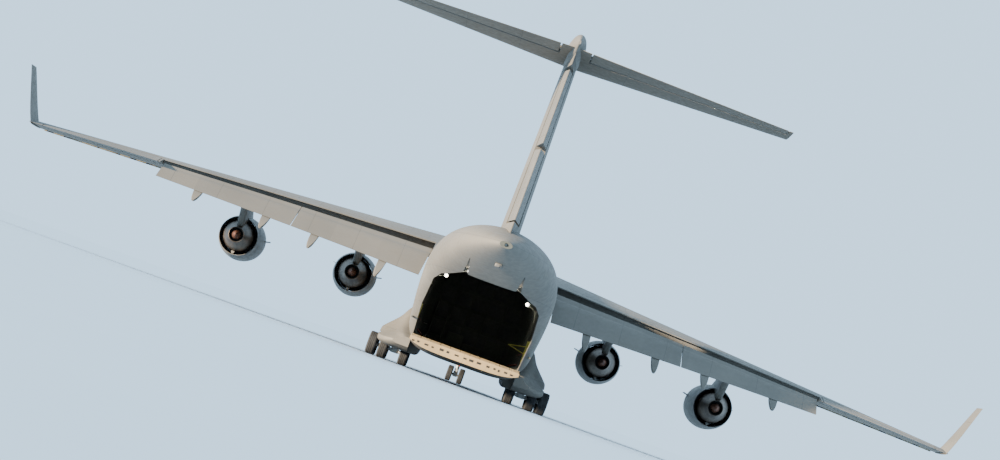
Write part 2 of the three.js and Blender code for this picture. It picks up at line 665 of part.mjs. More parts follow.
function addWing({ side, sign }) {
  const blank = wingBlank(sign);
  const bays = FLAPS.map(({ bay }) => sectionLoft(sign, bay, flapBay));
  const bay = sectionLoft(sign, AILERON.bay, aileronBay);
  const fairings = FAIRINGS.map(({ x }) => fixedFairing(sign, x));
  const ends = AILERON.span.map((x) => wingPoint(sign, x, AILERON.hinge, camberAt(AILERON.hinge)));
  const bores = boresOf(ends, SURFACE_PIN);
  const wing = join(cut(blank, outerGrown, ...bays, bay, ...bores), ...fairings, winglet(sign));
  addMesh(`wing_${side}`, wing, PAINT);
  addMesh(`slats_${side}`, slats(sign, wing), PAINT);
  for (const { name, span } of FLAPS) {
    const own = FAIRINGS.filter((fairing) => fairing.flap === name);
    const carried = own.map(({ x }) => movingFairing(sign, x));
    const line = span.map((x) => hingePoint(sign, x));
    addHinged(`${name}_${side}`, join(sectionLoft(sign, span, flapOutline), ...carried), PAINT, {
      pivot: line[0],
      axis: line[1].clone().sub(line[0]).multiplyScalar(sign).normalize(),
      rest: FLAP.rest,
    });
  }
  const aileron = join(sectionLoft(sign, AILERON.span, aileronOutline), ...pinsOf(ends, SURFACE_PIN));
  addHinged(`aileron_${side}`, aileron, PAINT, {
    pivot: ends[0],
    axis: ends[1].clone().sub(ends[0]).multiplyScalar(sign).normalize(),
  });
  return wing;
}

const wings = SIDES.map(addWing);

// Fairing over the wing roots: station, half width, top
const HUMP = [
  [14800, 600, 7900],
  [16500, 1900, 8250],
  [19000, ROOT_X - GAP, 8420],
  [25000, ROOT_X - GAP, 8380],
  [28500, 2100, 8150],
  [31500, 900, 7960],
];
const HUMP_BASE = 6500;

function addWingFairing() {
  const rings = HUMP.map(([station, half, top]) => {
    const arch = Array.from({ length: 13 }, (unused, i) => {
      const turn = degrees(15 * i);
      const [c, s] = [Math.cos(turn), Math.sin(turn)];
      return at(half * Math.sign(c) * Math.abs(c) ** 0.6, station, HUMP_BASE + (top - HUMP_BASE) * s ** 0.6);
    });
    return arch;
  });
  addMesh('wing_fairing', loft(rings).subtract(outerGrown), PAINT);
}
addWingFairing();

// A turned profile of (radius, distance) pairs about an axis
function lathe(profile, axis, origin, sides) {
  const points = profile.map(([radius, along]) => new THREE.Vector2(radius, along));
  const geometry = new THREE.LatheGeometry(points, sides, Math.PI / sides);
  geometry.applyQuaternion(new THREE.Quaternion().setFromUnitVectors(AXIS_Y, axis));
  geometry.translate(origin.x, origin.y, origin.z);
  return asSolid(geometry);
}

// Engines: distance x out, station of the inlet, height of the axis
const ENGINES = [
  { number: 1, sign: -1, x: 14050, inlet: 19000, z: 3660 },
  { number: 2, sign: -1, x: 7550, inlet: 15400, z: 4000 },
  { number: 3, sign: 1, x: 7550, inlet: 15400, z: 4000 },
  { number: 4, sign: 1, x: 14050, inlet: 19000, z: 3660 },
];
const ENGINE_SIDES = 18;
const COWL = [
  [1045, 0], [1120, 130], [1240, 800], [1280, 1900], [1230, 3300], [1085, 4600], [1050, 4600], [1000, 1900],
  [990, 500], [1000, 120], [1045, 0],
];
const CORE = [
  [0, 1500.6], [100, 1500.6], [100, 1514], [320, 1514], [620, 1900], [850, 3600], [830, 4700],
  [430, 5900], [390, 5900], [380, 5600], [250, 5600], [0, 6350],
];
const SPINNER = [[0, 900], [180, 1010], [330, 1280], [330, 1500], [0, 1500]];
const BLADES = 12;
const BLADE = { root: 250, tip: 950, thick: 26, twist: 38, from: 1270, to: 1490 };
const PYLON_HALF = 200;
const SEAT_ON_WING = 0.36;

function fanSolid(origin, axis) {
  const length = (BLADE.to - BLADE.from) / Math.cos(degrees(BLADE.twist));
  const blades = Array.from({ length: BLADES }, (unused, i) => {
    const blade = new THREE.BoxGeometry(BLADE.thick, length * 0.8, BLADE.tip - BLADE.root);
    blade.rotateZ(degrees(BLADE.twist));
    blade.translate(0, -(BLADE.from + BLADE.to) / 2, (BLADE.tip + BLADE.root) / 2);
    blade.rotateY((2 * Math.PI * i) / BLADES);
    blade.translate(origin.x, origin.y, origin.z);
    return asSolid(blade);
  });
  return join(lathe(SPINNER, axis, origin, ENGINE_SIDES), ...blades);
}

// The pylon's side view: from the top of the cowl back and up to the wing
function pylonSolid({ sign, x, inlet, z }) {
  const lead = wingPoint(sign, x, 0, 0);
  const chord = chordAt(x);
  const back = LENGTH / 2 - lead.y - inlet;
  const rise = lead.z - z;
  const seat = back + SEAT_ON_WING * chord;
  const outline = [
    [1700, 1150], [2000, 1320], [back - 150, rise - 0.045 * chord], [back + 150, rise - 0.04 * chord],
    [back + 350, rise], [seat, rise - 0.03 * chord], [seat, rise - 0.1 * chord],
    [seat - 900, rise - 0.16 * chord],
    [6100, 900], [5400, 350], [3000, 300],
  ];
  const side = outline.map(([run, height]) => [inlet + run, z + height]);
  return (half) => sidePrism(side, sign * x - half, sign * x + half);
}

// Strakes on the shoulders of a cowl: the one towards the fuselage is larger
const STRAKES = [{ hand: -1, from: 900, to: 2300, out: 1600 }, { hand: 1, from: 1300, to: 2100, out: 1480 }];
const STRAKE_TILT = 12;

function strakes({ sign, x, inlet, z }) {
  return STRAKES.map(({ hand, from, to, out }) => {
    const toward = hand * sign;
    const tilt = degrees(STRAKE_TILT);
    const corners = [[1150, from], [out - 120, from + 350], [out, to - 60], [1150, to]];
    const rings = [-15, 15].map((thick) => corners.map(([radius, run]) => {
      const dx = toward * (radius * Math.cos(tilt)) - toward * thick * Math.sin(tilt);
      return at(sign * x + dx, inlet + run, z + radius * Math.sin(tilt) + thick * Math.cos(tilt));
    }));
    return loft(rings);
  });
}

function addEngine(engine, wing) {
  const { number, sign, x, inlet, z } = engine;
  const origin = at(sign * x, inlet, z);
  const aft = AXIS_Y.clone().negate();
  const pylon = pylonSolid(engine);
  const clearOfWing = (solid) => cut(solid, wing, wing.translate([0, 0, -GAP]));
  const core = join(lathe(CORE, aft, origin, ENGINE_SIDES), clearOfWing(pylon(PYLON_HALF)));
  const cowl = join(lathe(COWL, aft, origin, ENGINE_SIDES), ...strakes(engine));
  const slot = pylon(PYLON_HALF + GAP);
  const slotted = cut(cowl, slot, slot.translate([0, GAP, 0]), slot.translate([0, 0, GAP]));
    addMesh(`engine_${number}_cowl`, largest(slotted), PAINT);
  addMesh(`engine_${number}_core`, core, METAL);
  addHinged(`engine_${number}_fan`, fanSolid(origin, aft), FAN_METAL, { pivot: origin, axis: AXIS_Y });
}

for (const engine of ENGINES) addEngine(engine, wings[engine.sign < 0 ? 0 : 1]);

// Tail: fin sections by height, tailplane sections by distance out
const FIN = { rootZ: 7900, rootLead: 37200, rootChord: 8800, topZ: 15300, topLead: 44600, topChord: 5600 };
const RUDDERS = [
  { name: 'rudder_lower', bay: [8000, 11600], span: [8090, 11440] },
  { name: 'rudder_upper', bay: [11600, 15100], span: [11620, 14960] },
];
const RUDDER_HINGE = 0.71;
const RUDDER_PIN = 260;
const TAILPLANE = {
  z: 15800, fall: 0.066, rootLead: 44880, sweep: 0.5953, rootChord: 5660, tipChord: 2260, half: 9905,
};
const FIN_RATIO = 0.11;
const TAILPLANE_RATIO = 0.1;
const ELEVATOR = { hinge: 0.71, bay: [700, 9740], span: [760, 9690] };
const BULLET = { from: 44000, to: 51000, z: 16000, high: 790, wide: 440 };

const tailOutline = (ratio) => [
  [0, 0],
  ...FRACTIONS.slice(1).map((f) => [f, halfThick(f, ratio)]),
  ...FRACTIONS.slice(1).reverse().map((f) => [f, -halfThick(f, ratio)]),
];

function finPoint(z, f, h) {
  const share = (z - FIN.rootZ) / (FIN.topZ - FIN.rootZ);
  const chord = lerp(FIN.rootChord, FIN.topChord, share);
  return at(h * chord, lerp(FIN.rootLead, FIN.topLead, share) + f * chord, z);
}

function tailPoint(sign, x, f, h) {
  const chord = lerp(TAILPLANE.rootChord, TAILPLANE.tipChord, x / TAILPLANE.half);
  const z = TAILPLANE.z - TAILPLANE.fall * x + h * chord;
  return at(sign * x, TAILPLANE.rootLead + TAILPLANE.sweep * x + f * chord, z);
}

// A control surface: round nose about its hinge line, flat sides to the trailing edge
function surfaceOutline(hinge, ratio) {
  const radius = 0.97 * halfThick(hinge, ratio);
  const nose = [110, 145, 180, 215, 250].map((turn) => [
    hinge + radius * Math.cos(degrees(turn)), radius * Math.sin(degrees(turn)),
  ]);
  return [[1, TRAILING_HALF], [hinge, 0.97 * halfThick(hinge, ratio)], ...nose,
    [hinge, -0.97 * halfThick(hinge, ratio)], [1, -TRAILING_HALF]];
}

function surfaceBay(hinge, ratio) {
  const wall = hinge - halfThick(hinge, ratio) - 0.008;
  return [[wall, -0.2], [wall, 0.2], [1.1, 0.2], [1.1, -0.2]];
}

const finLoft = (heights, outline) => loft(heights.map((z) => outline.map(([f, h]) => finPoint(z, f, h))));
const tailLoft = (sign, xs, outline) =>
  loft(xs.map((x) => outline.map(([f, h]) => tailPoint(sign, x, f, h))));
const elevatorEnds = (sign) => ELEVATOR.span.map((x) => tailPoint(sign, x, ELEVATOR.hinge, 0));
const rudderEnds = ({ span }) => span.map((z) => finPoint(z, RUDDER_HINGE, 0));

// Bullet fairing at the top of the fin: share of its length, share of its size
const BULLET_RINGS = [
  [0, 0.05], [0.05, 0.42], [0.15, 0.75], [0.3, 0.96], [0.45, 1], [0.7, 0.86], [0.9, 0.5], [1, 0.12],
];
const BULLET_SIDES = 12;

function bulletSolid() {
  return loft(BULLET_RINGS.map(([share, size]) => {
    const station = lerp(BULLET.from, BULLET.to, share);
    return Array.from({ length: BULLET_SIDES }, (unused, i) => {
      const turn = (2 * Math.PI * i) / BULLET_SIDES;
      return at(size * BULLET.wide * Math.cos(turn), station, BULLET.z + size * BULLET.high * Math.sin(turn));
    });
  }));
}

// A rudder's top end slopes down towards the trailing edge, clear of its swing
const RUDDER_TOP_SLOPE = 0.05;

function rudderSolid([low, high]) {
  const outline = surfaceOutline(RUDDER_HINGE, FIN_RATIO);
  const ring = (z, slope) => outline.map(([f, h]) => {
    const chord = lerp(FIN.rootChord, FIN.topChord, (z - FIN.rootZ) / (FIN.topZ - FIN.rootZ));
    return finPoint(z - slope * chord * Math.max(0, f - RUDDER_HINGE), f, h);
  });
  return loft([ring(low, 0), ring(high, RUDDER_TOP_SLOPE)]);
}

function addTailplane() {
  const halves = SIDES.map(({ sign }) => {
    const plane = tailLoft(sign, [0, TAILPLANE.half], tailOutline(TAILPLANE_RATIO));
    const bay = tailLoft(sign, ELEVATOR.bay, surfaceBay(ELEVATOR.hinge, TAILPLANE_RATIO));
    return cut(plane, bay, ...boresOf(elevatorEnds(sign), SURFACE_PIN));
  });
  const tailplane = join(bulletSolid(), ...halves);
  addMesh('tailplane', tailplane, PAINT);
  for (const { side, sign } of SIDES) {
    const ends = elevatorEnds(sign);
    const solid = tailLoft(sign, ELEVATOR.span, surfaceOutline(ELEVATOR.hinge, TAILPLANE_RATIO));
    addHinged(`elevator_${side}`, join(solid, ...pinsOf(ends, SURFACE_PIN)), PAINT, {
      pivot: ends[0],
      axis: ends[1].clone().sub(ends[0]).multiplyScalar(sign).normalize(),
    });
  }
  return tailplane;
}

// The lower rudder's pin stands in the root of the fin, the upper one's in its tip
const rudderPins = (make) => RUDDERS.map((rudder, i) => make(rudderEnds(rudder), RUDDER_PIN)[i]);

function addFin(tailplane) {
  const bays = RUDDERS.map(({ bay }) => finLoft(bay, surfaceBay(RUDDER_HINGE, FIN_RATIO)));
  const blank = finLoft([6900, 15600], tailOutline(FIN_RATIO));
  const room = [outerGrown, tailplane, tailplane.translate([0, 0, -GAP])];
  addMesh('fin', largest(cut(blank, ...room, ...bays, ...rudderPins(boresOf))), PAINT);
  const pins = rudderPins(pinsOf);
  for (const [i, rudder] of RUDDERS.entries()) {
    const ends = rudderEnds(rudder);
    addHinged(rudder.name, join(rudderSolid(rudder.span), pins[i]), PAINT, {
      pivot: ends[0],
      axis: ends[1].clone().sub(ends[0]).normalize(),
    });
  }
}

addFin(addTailplane());

// Landing gear: the tyres stand on a flat of their outline
const TYRE_SIDES = 16;
const flatHeight = (radius) => radius * Math.cos(Math.PI / TYRE_SIDES);
const MAIN = {
  radius: 635, width: 530, wheels: [3020, 4220, 4860], leg: 3620, legRadius: 140, lug: 130, axle: 100,
  stations: [25150, 27650], wellTop: 1360,
};
const NOSE = {
  radius: 508, width: 380, wheels: [-380, 380], station: 6340, legRadius: 150,
  lug: 130, axle: 70, split: 1060,
};
const TYRE = [[0, -0.42], [0.92, -0.46], [1, -0.3], [1, 0.3], [0.92, 0.46], [0, 0.42]];

function wheelSet({ radius, width, axle }, xs, axleEnds, station) {
  const z = flatHeight(radius);
  const profile = TYRE.map(([r, w]) => [r * radius, w * width]);
  const tyres = xs.map((x) => lathe(profile, AXIS_X, at(x, station, z), TYRE_SIDES));
  return join(acrossRod(...axleEnds, station, z, axle, 12), ...tyres);
}

// A block about the axle, bored for it
function axleLug(x, station, { radius, lug, axle }, half) {
  const z = flatHeight(radius);
  const body = block(x - half, x + half, station - lug, station + lug, z - lug, z + 1.6 * lug);
  return { body, bore: acrossRod(x - 2 * half, x + 2 * half, station, z, boreRadius(axle, 24), 24) };
}

const upright = (x, station, z0, z1, radius) => rod(at(x, station, z0), at(x, station, z1), radius, 12);

function addMainGear() {
  for (const { side, sign } of SIDES) {
    MAIN.stations.forEach((station, i) => {
      const place = `${side}_${i === 0 ? 'front' : 'rear'}`;
      const lug = axleLug(sign * MAIN.leg, station, MAIN, 190);
      const top = MAIN.wellTop - GAP;
      const column = upright(sign * MAIN.leg, station, flatHeight(MAIN.radius) + 60, top, MAIN.legRadius);
      const strut = [[station - 90, 700], [station + 90, 700], [station + 620, top], [station + 380, top]];
      const brace = sidePrism(strut, sign * MAIN.leg - 70, sign * MAIN.leg + 70);
      addMesh(`main_leg_${place}`, cut(join(lug.body, column, brace), lug.bore), STEEL);
      const xs = MAIN.wheels.map((x) => sign * x);
      const ends = [xs[0], xs[2]];
      const set = wheelSet(MAIN, xs, ends, station);
      addHinged(`main_wheels_${place}`, set, RUBBER, {
        pivot: at(sign * MAIN.leg, station, flatHeight(MAIN.radius)),
        axis: AXIS_X,
      });
    });
  }
}

function addNoseGear() {
  const { station, split, legRadius } = NOSE;
  const bayTop = NOSE_BAY.top - GAP;
  const strut = [
    [station - 60, 1150], [station + 60, 1150], [station - 750, bayTop], [station - 950, bayTop],
  ];
  const brace = sidePrism(strut, -60, 60);
  addMesh('nose_leg', join(upright(0, station, split, bayTop, legRadius), brace), STEEL);
  const lug = axleLug(0, station, NOSE, 150);
  const fork = cut(join(lug.body, upright(0, station, 560, split - GAP, legRadius - 30)), lug.bore);
  addHinged('nose_fork', fork, STEEL, { pivot: at(0, station, split), axis: AXIS_Z });
  addHinged('nose_wheels', wheelSet(NOSE, NOSE.wheels, [-380, 380], station), RUBBER, {
    pivot: at(0, station, flatHeight(NOSE.radius)),
    axis: AXIS_X,
  });
}

// Gear pods: station, reach outward from the hull, top, bottom
const POD = [
  [18300, 0.1, 2100, 1350],
  [19000, 0.62, 2800, 1000],
  [20200, 0.93, 3200, 800],
  [22500, 1, 3300, 750],
  [26500, 1, 3150, 750],
  [28600, 1, 2050, 750],
  [29800, 0.82, 1700, 820],
  [30450, 0.45, 1500, 1020],
];
const POD_INNER = 2400;
const POD_HULL = 3100;
// Share of the reach outward from the hull, share of the height
const POD_SECTION = [
  [-0.1, 1], [0.25, 1], [0.53, 0.72], [0.94, 0.43], [1, 0.35], [0.96, 0.14], [0.69, 0.02], [0.3, 0],
];
const POD_REACH = 1590;
const WELL = { x0: 2700, x1: 5300, from: 24350, to: 28450, low: 0, high: MAIN.wellTop };

function addPods() {
  for (const { side, sign } of SIDES) {
    const rings = POD.map(([station, reach, top, bottom]) => [
      at(sign * POD_INNER, station, bottom),
      at(sign * POD_INNER, station, top),
      ...POD_SECTION.map(([out, up]) => {
        const x = POD_HULL + out * reach * POD_REACH;
        return at(sign * x, station, lerp(bottom, top, up));
      }),
    ]);
    const ramp = mirrored(sign, 0, RAMP_HALF + 2 * CLEAR, RAMP_HINGE.station - 400, FAR, 0, FAR);
    const pod = cut(loft(rings), outerGrown, hole(WELL, sign), ramp);
    addMesh(`gear_pod_${side}`, largest(pod), PAINT);
  }
}

addPods();
addMainGear();
addNoseGear();

export default aircraft;
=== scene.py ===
"""Looks of the military transport plane: smooth skins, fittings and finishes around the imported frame.

Sizes are the real aircraft's, in millimetres, turned into the 1:2 model's metres by spot().
A station is the distance behind the nose; x is positive on the right wing's side.
"""
import math
import random

import bmesh
import bpy
import numpy as np
from mathutils import Matrix, Vector


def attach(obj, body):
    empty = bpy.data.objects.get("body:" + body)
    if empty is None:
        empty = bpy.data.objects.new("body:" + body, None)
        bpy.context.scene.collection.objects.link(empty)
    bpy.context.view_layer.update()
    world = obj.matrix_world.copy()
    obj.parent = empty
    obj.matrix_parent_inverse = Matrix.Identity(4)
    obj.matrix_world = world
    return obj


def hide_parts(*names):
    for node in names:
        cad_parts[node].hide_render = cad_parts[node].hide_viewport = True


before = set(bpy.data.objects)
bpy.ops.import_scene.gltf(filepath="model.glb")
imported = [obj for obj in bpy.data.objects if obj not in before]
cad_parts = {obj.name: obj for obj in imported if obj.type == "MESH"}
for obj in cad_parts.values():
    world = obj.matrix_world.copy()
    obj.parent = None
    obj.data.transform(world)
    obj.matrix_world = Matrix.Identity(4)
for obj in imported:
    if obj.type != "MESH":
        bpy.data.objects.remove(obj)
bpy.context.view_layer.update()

# Frame of the model
LENGTH = 53040
UNIT = 0.0005
SIDES = (("left", -1), ("right", 1))

# Hold, ramp and cargo door; angles in degrees
WALL = 200
CLEAR = 14
FLOOR_TOP = 1630
RAMP_STATION, RAMP_Z = 29500, 1390
RAMP_HALF, RAMP_THICK, RAMP_REACH = 2900, 240, 6250
RAMP_SLOPE, RAMP_LOWERED = 16.55, 16.4
DOOR_STATION, DOOR_Z, DOOR_RAISED = 45100, 6180, 15


def spot(x, station, z):
    """A point of the aircraft, in model metres."""
    return Vector((x * UNIT, (LENGTH / 2 - station) * UNIT, z * UNIT))


def spots(points):
    array = np.array(points, dtype=float).reshape(-1, 3)
    array[:, 1] = LENGTH / 2 - array[:, 1]
    return array * UNIT


# Meshes
def new_object(name, verts, faces):
    mesh = bpy.data.meshes.new(name)
    mesh.from_pydata([tuple(v) for v in verts], [], [tuple(f) for f in faces])
    mesh.validate()
    obj = bpy.data.objects.new(name, mesh)
    bpy.context.scene.collection.objects.link(obj)
    return obj


def shade(obj, angle=35):
    """Smooth shading with sharp edges over an angle in degrees."""
    mesh = obj.data
    mesh.polygons.foreach_set("use_smooth", [True] * len(mesh.polygons))
    mesh.set_sharp_from_angle(angle=math.radians(angle))


def tidy_normals(obj):
    """Merges doubled points and turns all faces outwards."""
    work = bmesh.new()
    work.from_mesh(obj.data)
    bmesh.ops.remove_doubles(work, verts=work.verts, dist=1e-6)
    bmesh.ops.recalc_face_normals(work, faces=work.faces)
    work.to_mesh(obj.data)
    work.free()


def grid_faces(rows, columns):
    faces = []
    for r in range(rows - 1):
        for c in range(columns):
            d = (c + 1) % columns
            faces.append((r * columns + c, r * columns + d, (r + 1) * columns + d, (r + 1) * columns + c))
    return faces


def loft(name, rings, smooth=None, caps=True):
    """A closed skin through rings of aircraft points."""
    rings = [list(ring) for ring in rings]
    columns = len(rings[0])
    verts = spots([point for ring in rings for point in ring])
    faces = grid_faces(len(rings), columns)
    if caps:
        faces.append(tuple(range(columns))[::-1])
        faces.append(tuple((len(rings) - 1) * columns + c for c in range(columns)))
    obj = new_object(name, verts, faces)
    tidy_normals(obj)
    if smooth is not None:
        shade(obj, smooth)
    return obj


def plan_prism(name, outline, z0, z1):
    return loft(name, [[(x, s, z) for x, s in outline] for z in (z0, z1)])


def box(name, x0, x1, s0, s1, z0, z1):
    return plan_prism(name, [(x0, s0), (x1, s0), (x1, s1), (x0, s1)], z0, z1)


def side_box(name, sign, near, far, start, stop, low, high):
    """A box on one side of the aircraft, between two distances out."""
    a, b = sorted((sign * near, sign * far))
    return box(name, a, b, start, stop, low, high)


def side_prism(name, outline, x0, x1):
    return loft(name, [[(x, s, z) for s, z in outline] for x in (x0, x1)])


def rod(name, start, end, radius, sides=24, end_radius=None):
    """A round bar between two aircraft points, radius in millimetres."""
    a, b = spot(*start), spot(*end)
    along = (b - a).normalized()
    across = along.orthogonal().normalized()
    other = along.cross(across)
    rings = []
    for centre, size in ((a, radius), (b, end_radius or radius)):
        for i in range(sides):
            turn = 2 * math.pi * i / sides
            rings.append(centre + (across * math.cos(turn) + other * math.sin(turn)) * size * UNIT)
    faces = grid_faces(2, sides)
    faces += [tuple(range(sides))[::-1], tuple(range(sides, 2 * sides))]
    obj = new_object(name, rings, faces)
    tidy_normals(obj)
    shade(obj)
    return obj


def across(name, x, half, station, z, radius, sides=24):
    """A round bar that lies across the aircraft."""
    return rod(name, (x - half, station, z), (x + half, station, z), radius, sides)


def lengthwise(name, x, z, start, stop, radius, sides=24, end_radius=None):
    return rod(name, (x, start, z), (x, stop, z), radius, sides, end_radius)


def upright(name, x, station, low, high, radius, sides=40, end_radius=None):
    return rod(name, (x, station, low), (x, station, high), radius, sides, end_radius)


def lathe(name, profile, origin, axis, sides=96, smooth=35):
    """A turned skin: (radius, distance along axis) pairs, closed if the ends meet or lie on the axis."""
    centre = spot(*origin)
    along = Vector(axis).normalized()
    across = along.orthogonal().normalized()
    other = along.cross(across)
    verts = []
    for radius, distance in profile:
        for i in range(sides):
            turn = 2 * math.pi * i / sides
            arm = across * math.cos(turn) + other * math.sin(turn)
            verts.append(centre + (along * distance + arm * radius) * UNIT)
    faces = grid_faces(len(profile), sides)
    obj = new_object(name, verts, faces)
    tidy_normals(obj)
    shade(obj, smooth)
    return obj


def joined(name, objects):
    """One object from several, in the first one's place."""
    context = bpy.context.copy()
    context["active_object"] = objects[0]
    context["selected_editable_objects"] = objects
    with bpy.context.temp_override(**context):
        bpy.ops.object.join()
    objects[0].name = name
    objects[0].data.name = name
    return objects[0]


def carve(obj, cutters, operation="DIFFERENCE", smooth=None):
    """Exact boolean with each cutter in turn; the cutters are removed."""
    for cutter in cutters:
        modifier = obj.modifiers.new("carve", "BOOLEAN")
        modifier.operation = operation
        modifier.solver = "EXACT"
        modifier.object = cutter
        apply_modifiers(obj)
        bpy.data.objects.remove(cutter)
    if smooth is not None:
        shade(obj, smooth)
    return obj


def apply_modifiers(obj):
    graph = bpy.context.evaluated_depsgraph_get()
    mesh = bpy.data.meshes.new_from_object(obj.evaluated_get(graph))
    old = obj.data
    obj.modifiers.clear()
    obj.data = mesh
    mesh.name = obj.name
    bpy.data.meshes.remove(old)


def bevel(obj, width, segments=2, angle=30):
    modifier = obj.modifiers.new("bevel", "BEVEL")
    modifier.width = width * UNIT
    modifier.segments = segments
    modifier.limit_method = "ANGLE"
    modifier.angle_limit = math.radians(angle)
    apply_modifiers(obj)
    shade(obj)
    return obj


def turned(obj, centre, axis, angle):
    """Turns the mesh about a line through a point of the model, angle in degrees."""
    matrix = (Matrix.Translation(centre) @ Matrix.Rotation(math.radians(angle), 4, Vector(axis))
              @ Matrix.Translation(-centre))
    obj.data.transform(matrix)
    return obj


def finished(obj, material, body, replaces=(), smooth=None):
    """Material, body and the nodes that this piece stands for."""
    obj.data.materials.clear()
    obj.data.materials.append(material)
    if smooth is not None:
        shade(obj, smooth)
    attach(obj, body)
    if replaces:
        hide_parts(*replaces)
    return obj


# Materials
class Shader:
    """Short ways to add and join shader nodes."""

    def __init__(self, name):
        self.material = bpy.data.materials.new(name)
        self.material.use_nodes = True
        self.tree = self.material.node_tree
        self.bsdf = self.tree.nodes["Principled BSDF"]
        self.place = self.add("ShaderNodeTexCoord").outputs["Object"]

    def add(self, kind, **values):
        node = self.tree.nodes.new(kind)
        for key, value in values.items():
            setattr(node, key, value)
        return node

    def link(self, source, target):
        if isinstance(source, (int, float)):
            target.default_value = source
        elif isinstance(source, tuple):
            target.default_value = source if len(source) == len(target.default_value) else (*source, 1)
        else:
            self.tree.links.new(source, target)

    def math(self, operation, a, b=0.0):
        node = self.add("ShaderNodeMath", operation=operation)
        self.link(a, node.inputs[0])
        self.link(b, node.inputs[1])
        return node.outputs[0]

    def split(self):
        node = self.add("ShaderNodeSeparateXYZ")
        self.link(self.place, node.inputs[0])
        return node.outputs

    def stretched(self, scale):
        node = self.add("ShaderNodeMapping")
        self.link(self.place, node.inputs["Vector"])
        node.inputs["Scale"].default_value = scale
        return node.outputs[0]

    def noise(self, scale, detail=4.0, roughness=0.55, stretch=(1, 1, 1)):
        node = self.add("ShaderNodeTexNoise")
        self.link(self.stretched(stretch), node.inputs["Vector"])
        node.inputs["Scale"].default_value = scale
        node.inputs["Detail"].default_value = detail
        node.inputs["Roughness"].default_value = roughness
        return node.outputs["Fac"]

    def ramp(self, value, low, high, to_low=0.0, to_high=1.0):
        node = self.add("ShaderNodeMapRange")
        node.interpolation_type = "SMOOTHSTEP"
        self.link(value, node.inputs["Value"])
        for key, number in (("From Min", low), ("From Max", high), ("To Min", to_low), ("To Max", to_high)):
            node.inputs[key].default_value = number
        return node.outputs["Result"]

    def mix(self, factor, a, b):
        node = self.add("ShaderNodeMix", data_type="RGBA")
        self.link(factor, node.inputs[0])
        self.link(a, node.inputs[6])
        self.link(b, node.inputs[7])
        return node.outputs[2]

    def lines(self, value, spacing, width):
        """1 on lines that repeat along a coordinate, 0 between them."""
        shifted = self.math("ADD", self.math("DIVIDE", value, spacing), 0.5)
        away = self.math("ABSOLUTE", self.math("SUBTRACT", self.math("FRACT", shifted), 0.5))
        return self.ramp(self.math("MULTIPLY", away, spacing), width * 0.5, width, 1.0, 0.0)

    def either(self, *masks):
        total = masks[0]
        for mask in masks[1:]:
            total = self.math("MAXIMUM", total, mask)
        return total

    def bump(self, height, distance, strength=1.0, before=None):
        node = self.add("ShaderNodeBump")
        node.inputs["Distance"].default_value = distance
        node.inputs["Strength"].default_value = strength
        self.link(height, node.inputs["Height"])
        if before is not None:
            self.link(before, node.inputs["Normal"])
        return node.outputs["Normal"]

    def finish(self, color, roughness, normal=None, metallic=0.0, **sockets):
        self.link(color, self.bsdf.inputs["Base Color"])
        self.link(roughness, self.bsdf.inputs["Roughness"])
        self.bsdf.inputs["Metallic"].default_value = metallic
        if normal is not None:
            self.link(normal, self.bsdf.inputs["Normal"])
        for key, value in sockets.items():
            self.bsdf.inputs[key.replace("_", " ")].default_value = value
        return self.material


def toned(color, share):
    return tuple(channel * share for channel in color)


SEAM_WIDTH, SEAM_DEPTH, SEAM_MIX = 0.007, 0.004, 0.45
PANEL_TINT = 0.05
STAIN = 0.8


def painted(name, base, panels=(0, 0, 0), dirt=0.35, streak=(1.0, 0.22, 1.0), rough=0.6):
    """Matt aircraft paint with streaks and grime; panels, by their size in metres, get seams and tints."""
    s = Shader(name)
    warm = (base[0] * 0.86, base[1] * 0.77, base[2] * 0.64)
    cloud = s.noise(0.9, 6, 0.6, streak)
    fine = s.noise(9.0, 5, 0.6)
    color = s.mix(s.ramp(cloud, 0.35, 0.7, 0.0, dirt), base, toned(base, 0.62))
    color = s.mix(s.ramp(s.noise(2.3, 5, 0.65, streak), 0.5, 0.78, 0.0, dirt * STAIN), color, warm)
    normal = s.bump(fine, 0.0012, 0.15)
    if any(panels):
        axes = s.split()
        seams, cells = [], s.add("ShaderNodeCombineXYZ")
        for i, size in enumerate(panels):
            if size:
                seams.append(s.lines(axes[i], size, SEAM_WIDTH))
                cell = s.math("FLOOR", s.math("ADD", s.math("DIVIDE", axes[i], size), 0.5))
                s.link(cell, cells.inputs[i])
        white = s.add("ShaderNodeTexWhiteNoise")
        s.link(cells.outputs[0], white.inputs["Vector"])
        shift = s.ramp(white.outputs["Value"], 0.0, 1.0, 1 - PANEL_TINT, 1 + PANEL_TINT)
        scaled = s.add("ShaderNodeVectorMath", operation="SCALE")
        s.link(color, scaled.inputs[0])
        s.link(shift, scaled.inputs["Scale"])
        lines = s.either(*seams)
        color = s.mix(s.math("MULTIPLY", lines, SEAM_MIX), scaled.outputs[0], toned(base, 0.35))
        normal = s.bump(s.math("SUBTRACT", 1.0, lines), SEAM_DEPTH, 0.5, normal)
    roughness = s.ramp(fine, 0.3, 0.7, rough - 0.08, rough + 0.12)
    return s.finish(color, roughness, normal, Specular_IOR_Level=0.35)


def metal(name, base, tones, rough, metallic=0.9):
    """Heat-stained metal with a second tone in clouds and fine brushing."""
    s = Shader(name)
    cloud = s.ramp(s.noise(3.0, 6, 0.65), 0.35, 0.68)
    color = s.mix(cloud, base, tones)
    brush = s.noise(60.0, 3, 0.6, (1, 0.06, 1))
    soot = s.ramp(s.noise(1.2, 5, 0.6), 0.5, 0.75, 0.0, 0.5)
    color = s.mix(soot, color, toned(base, 0.3))
    normal = s.bump(brush, 0.002, 0.4)
    return s.finish(color, s.ramp(brush, 0.3, 0.7, rough - 0.07, rough + 0.15), normal, metallic)


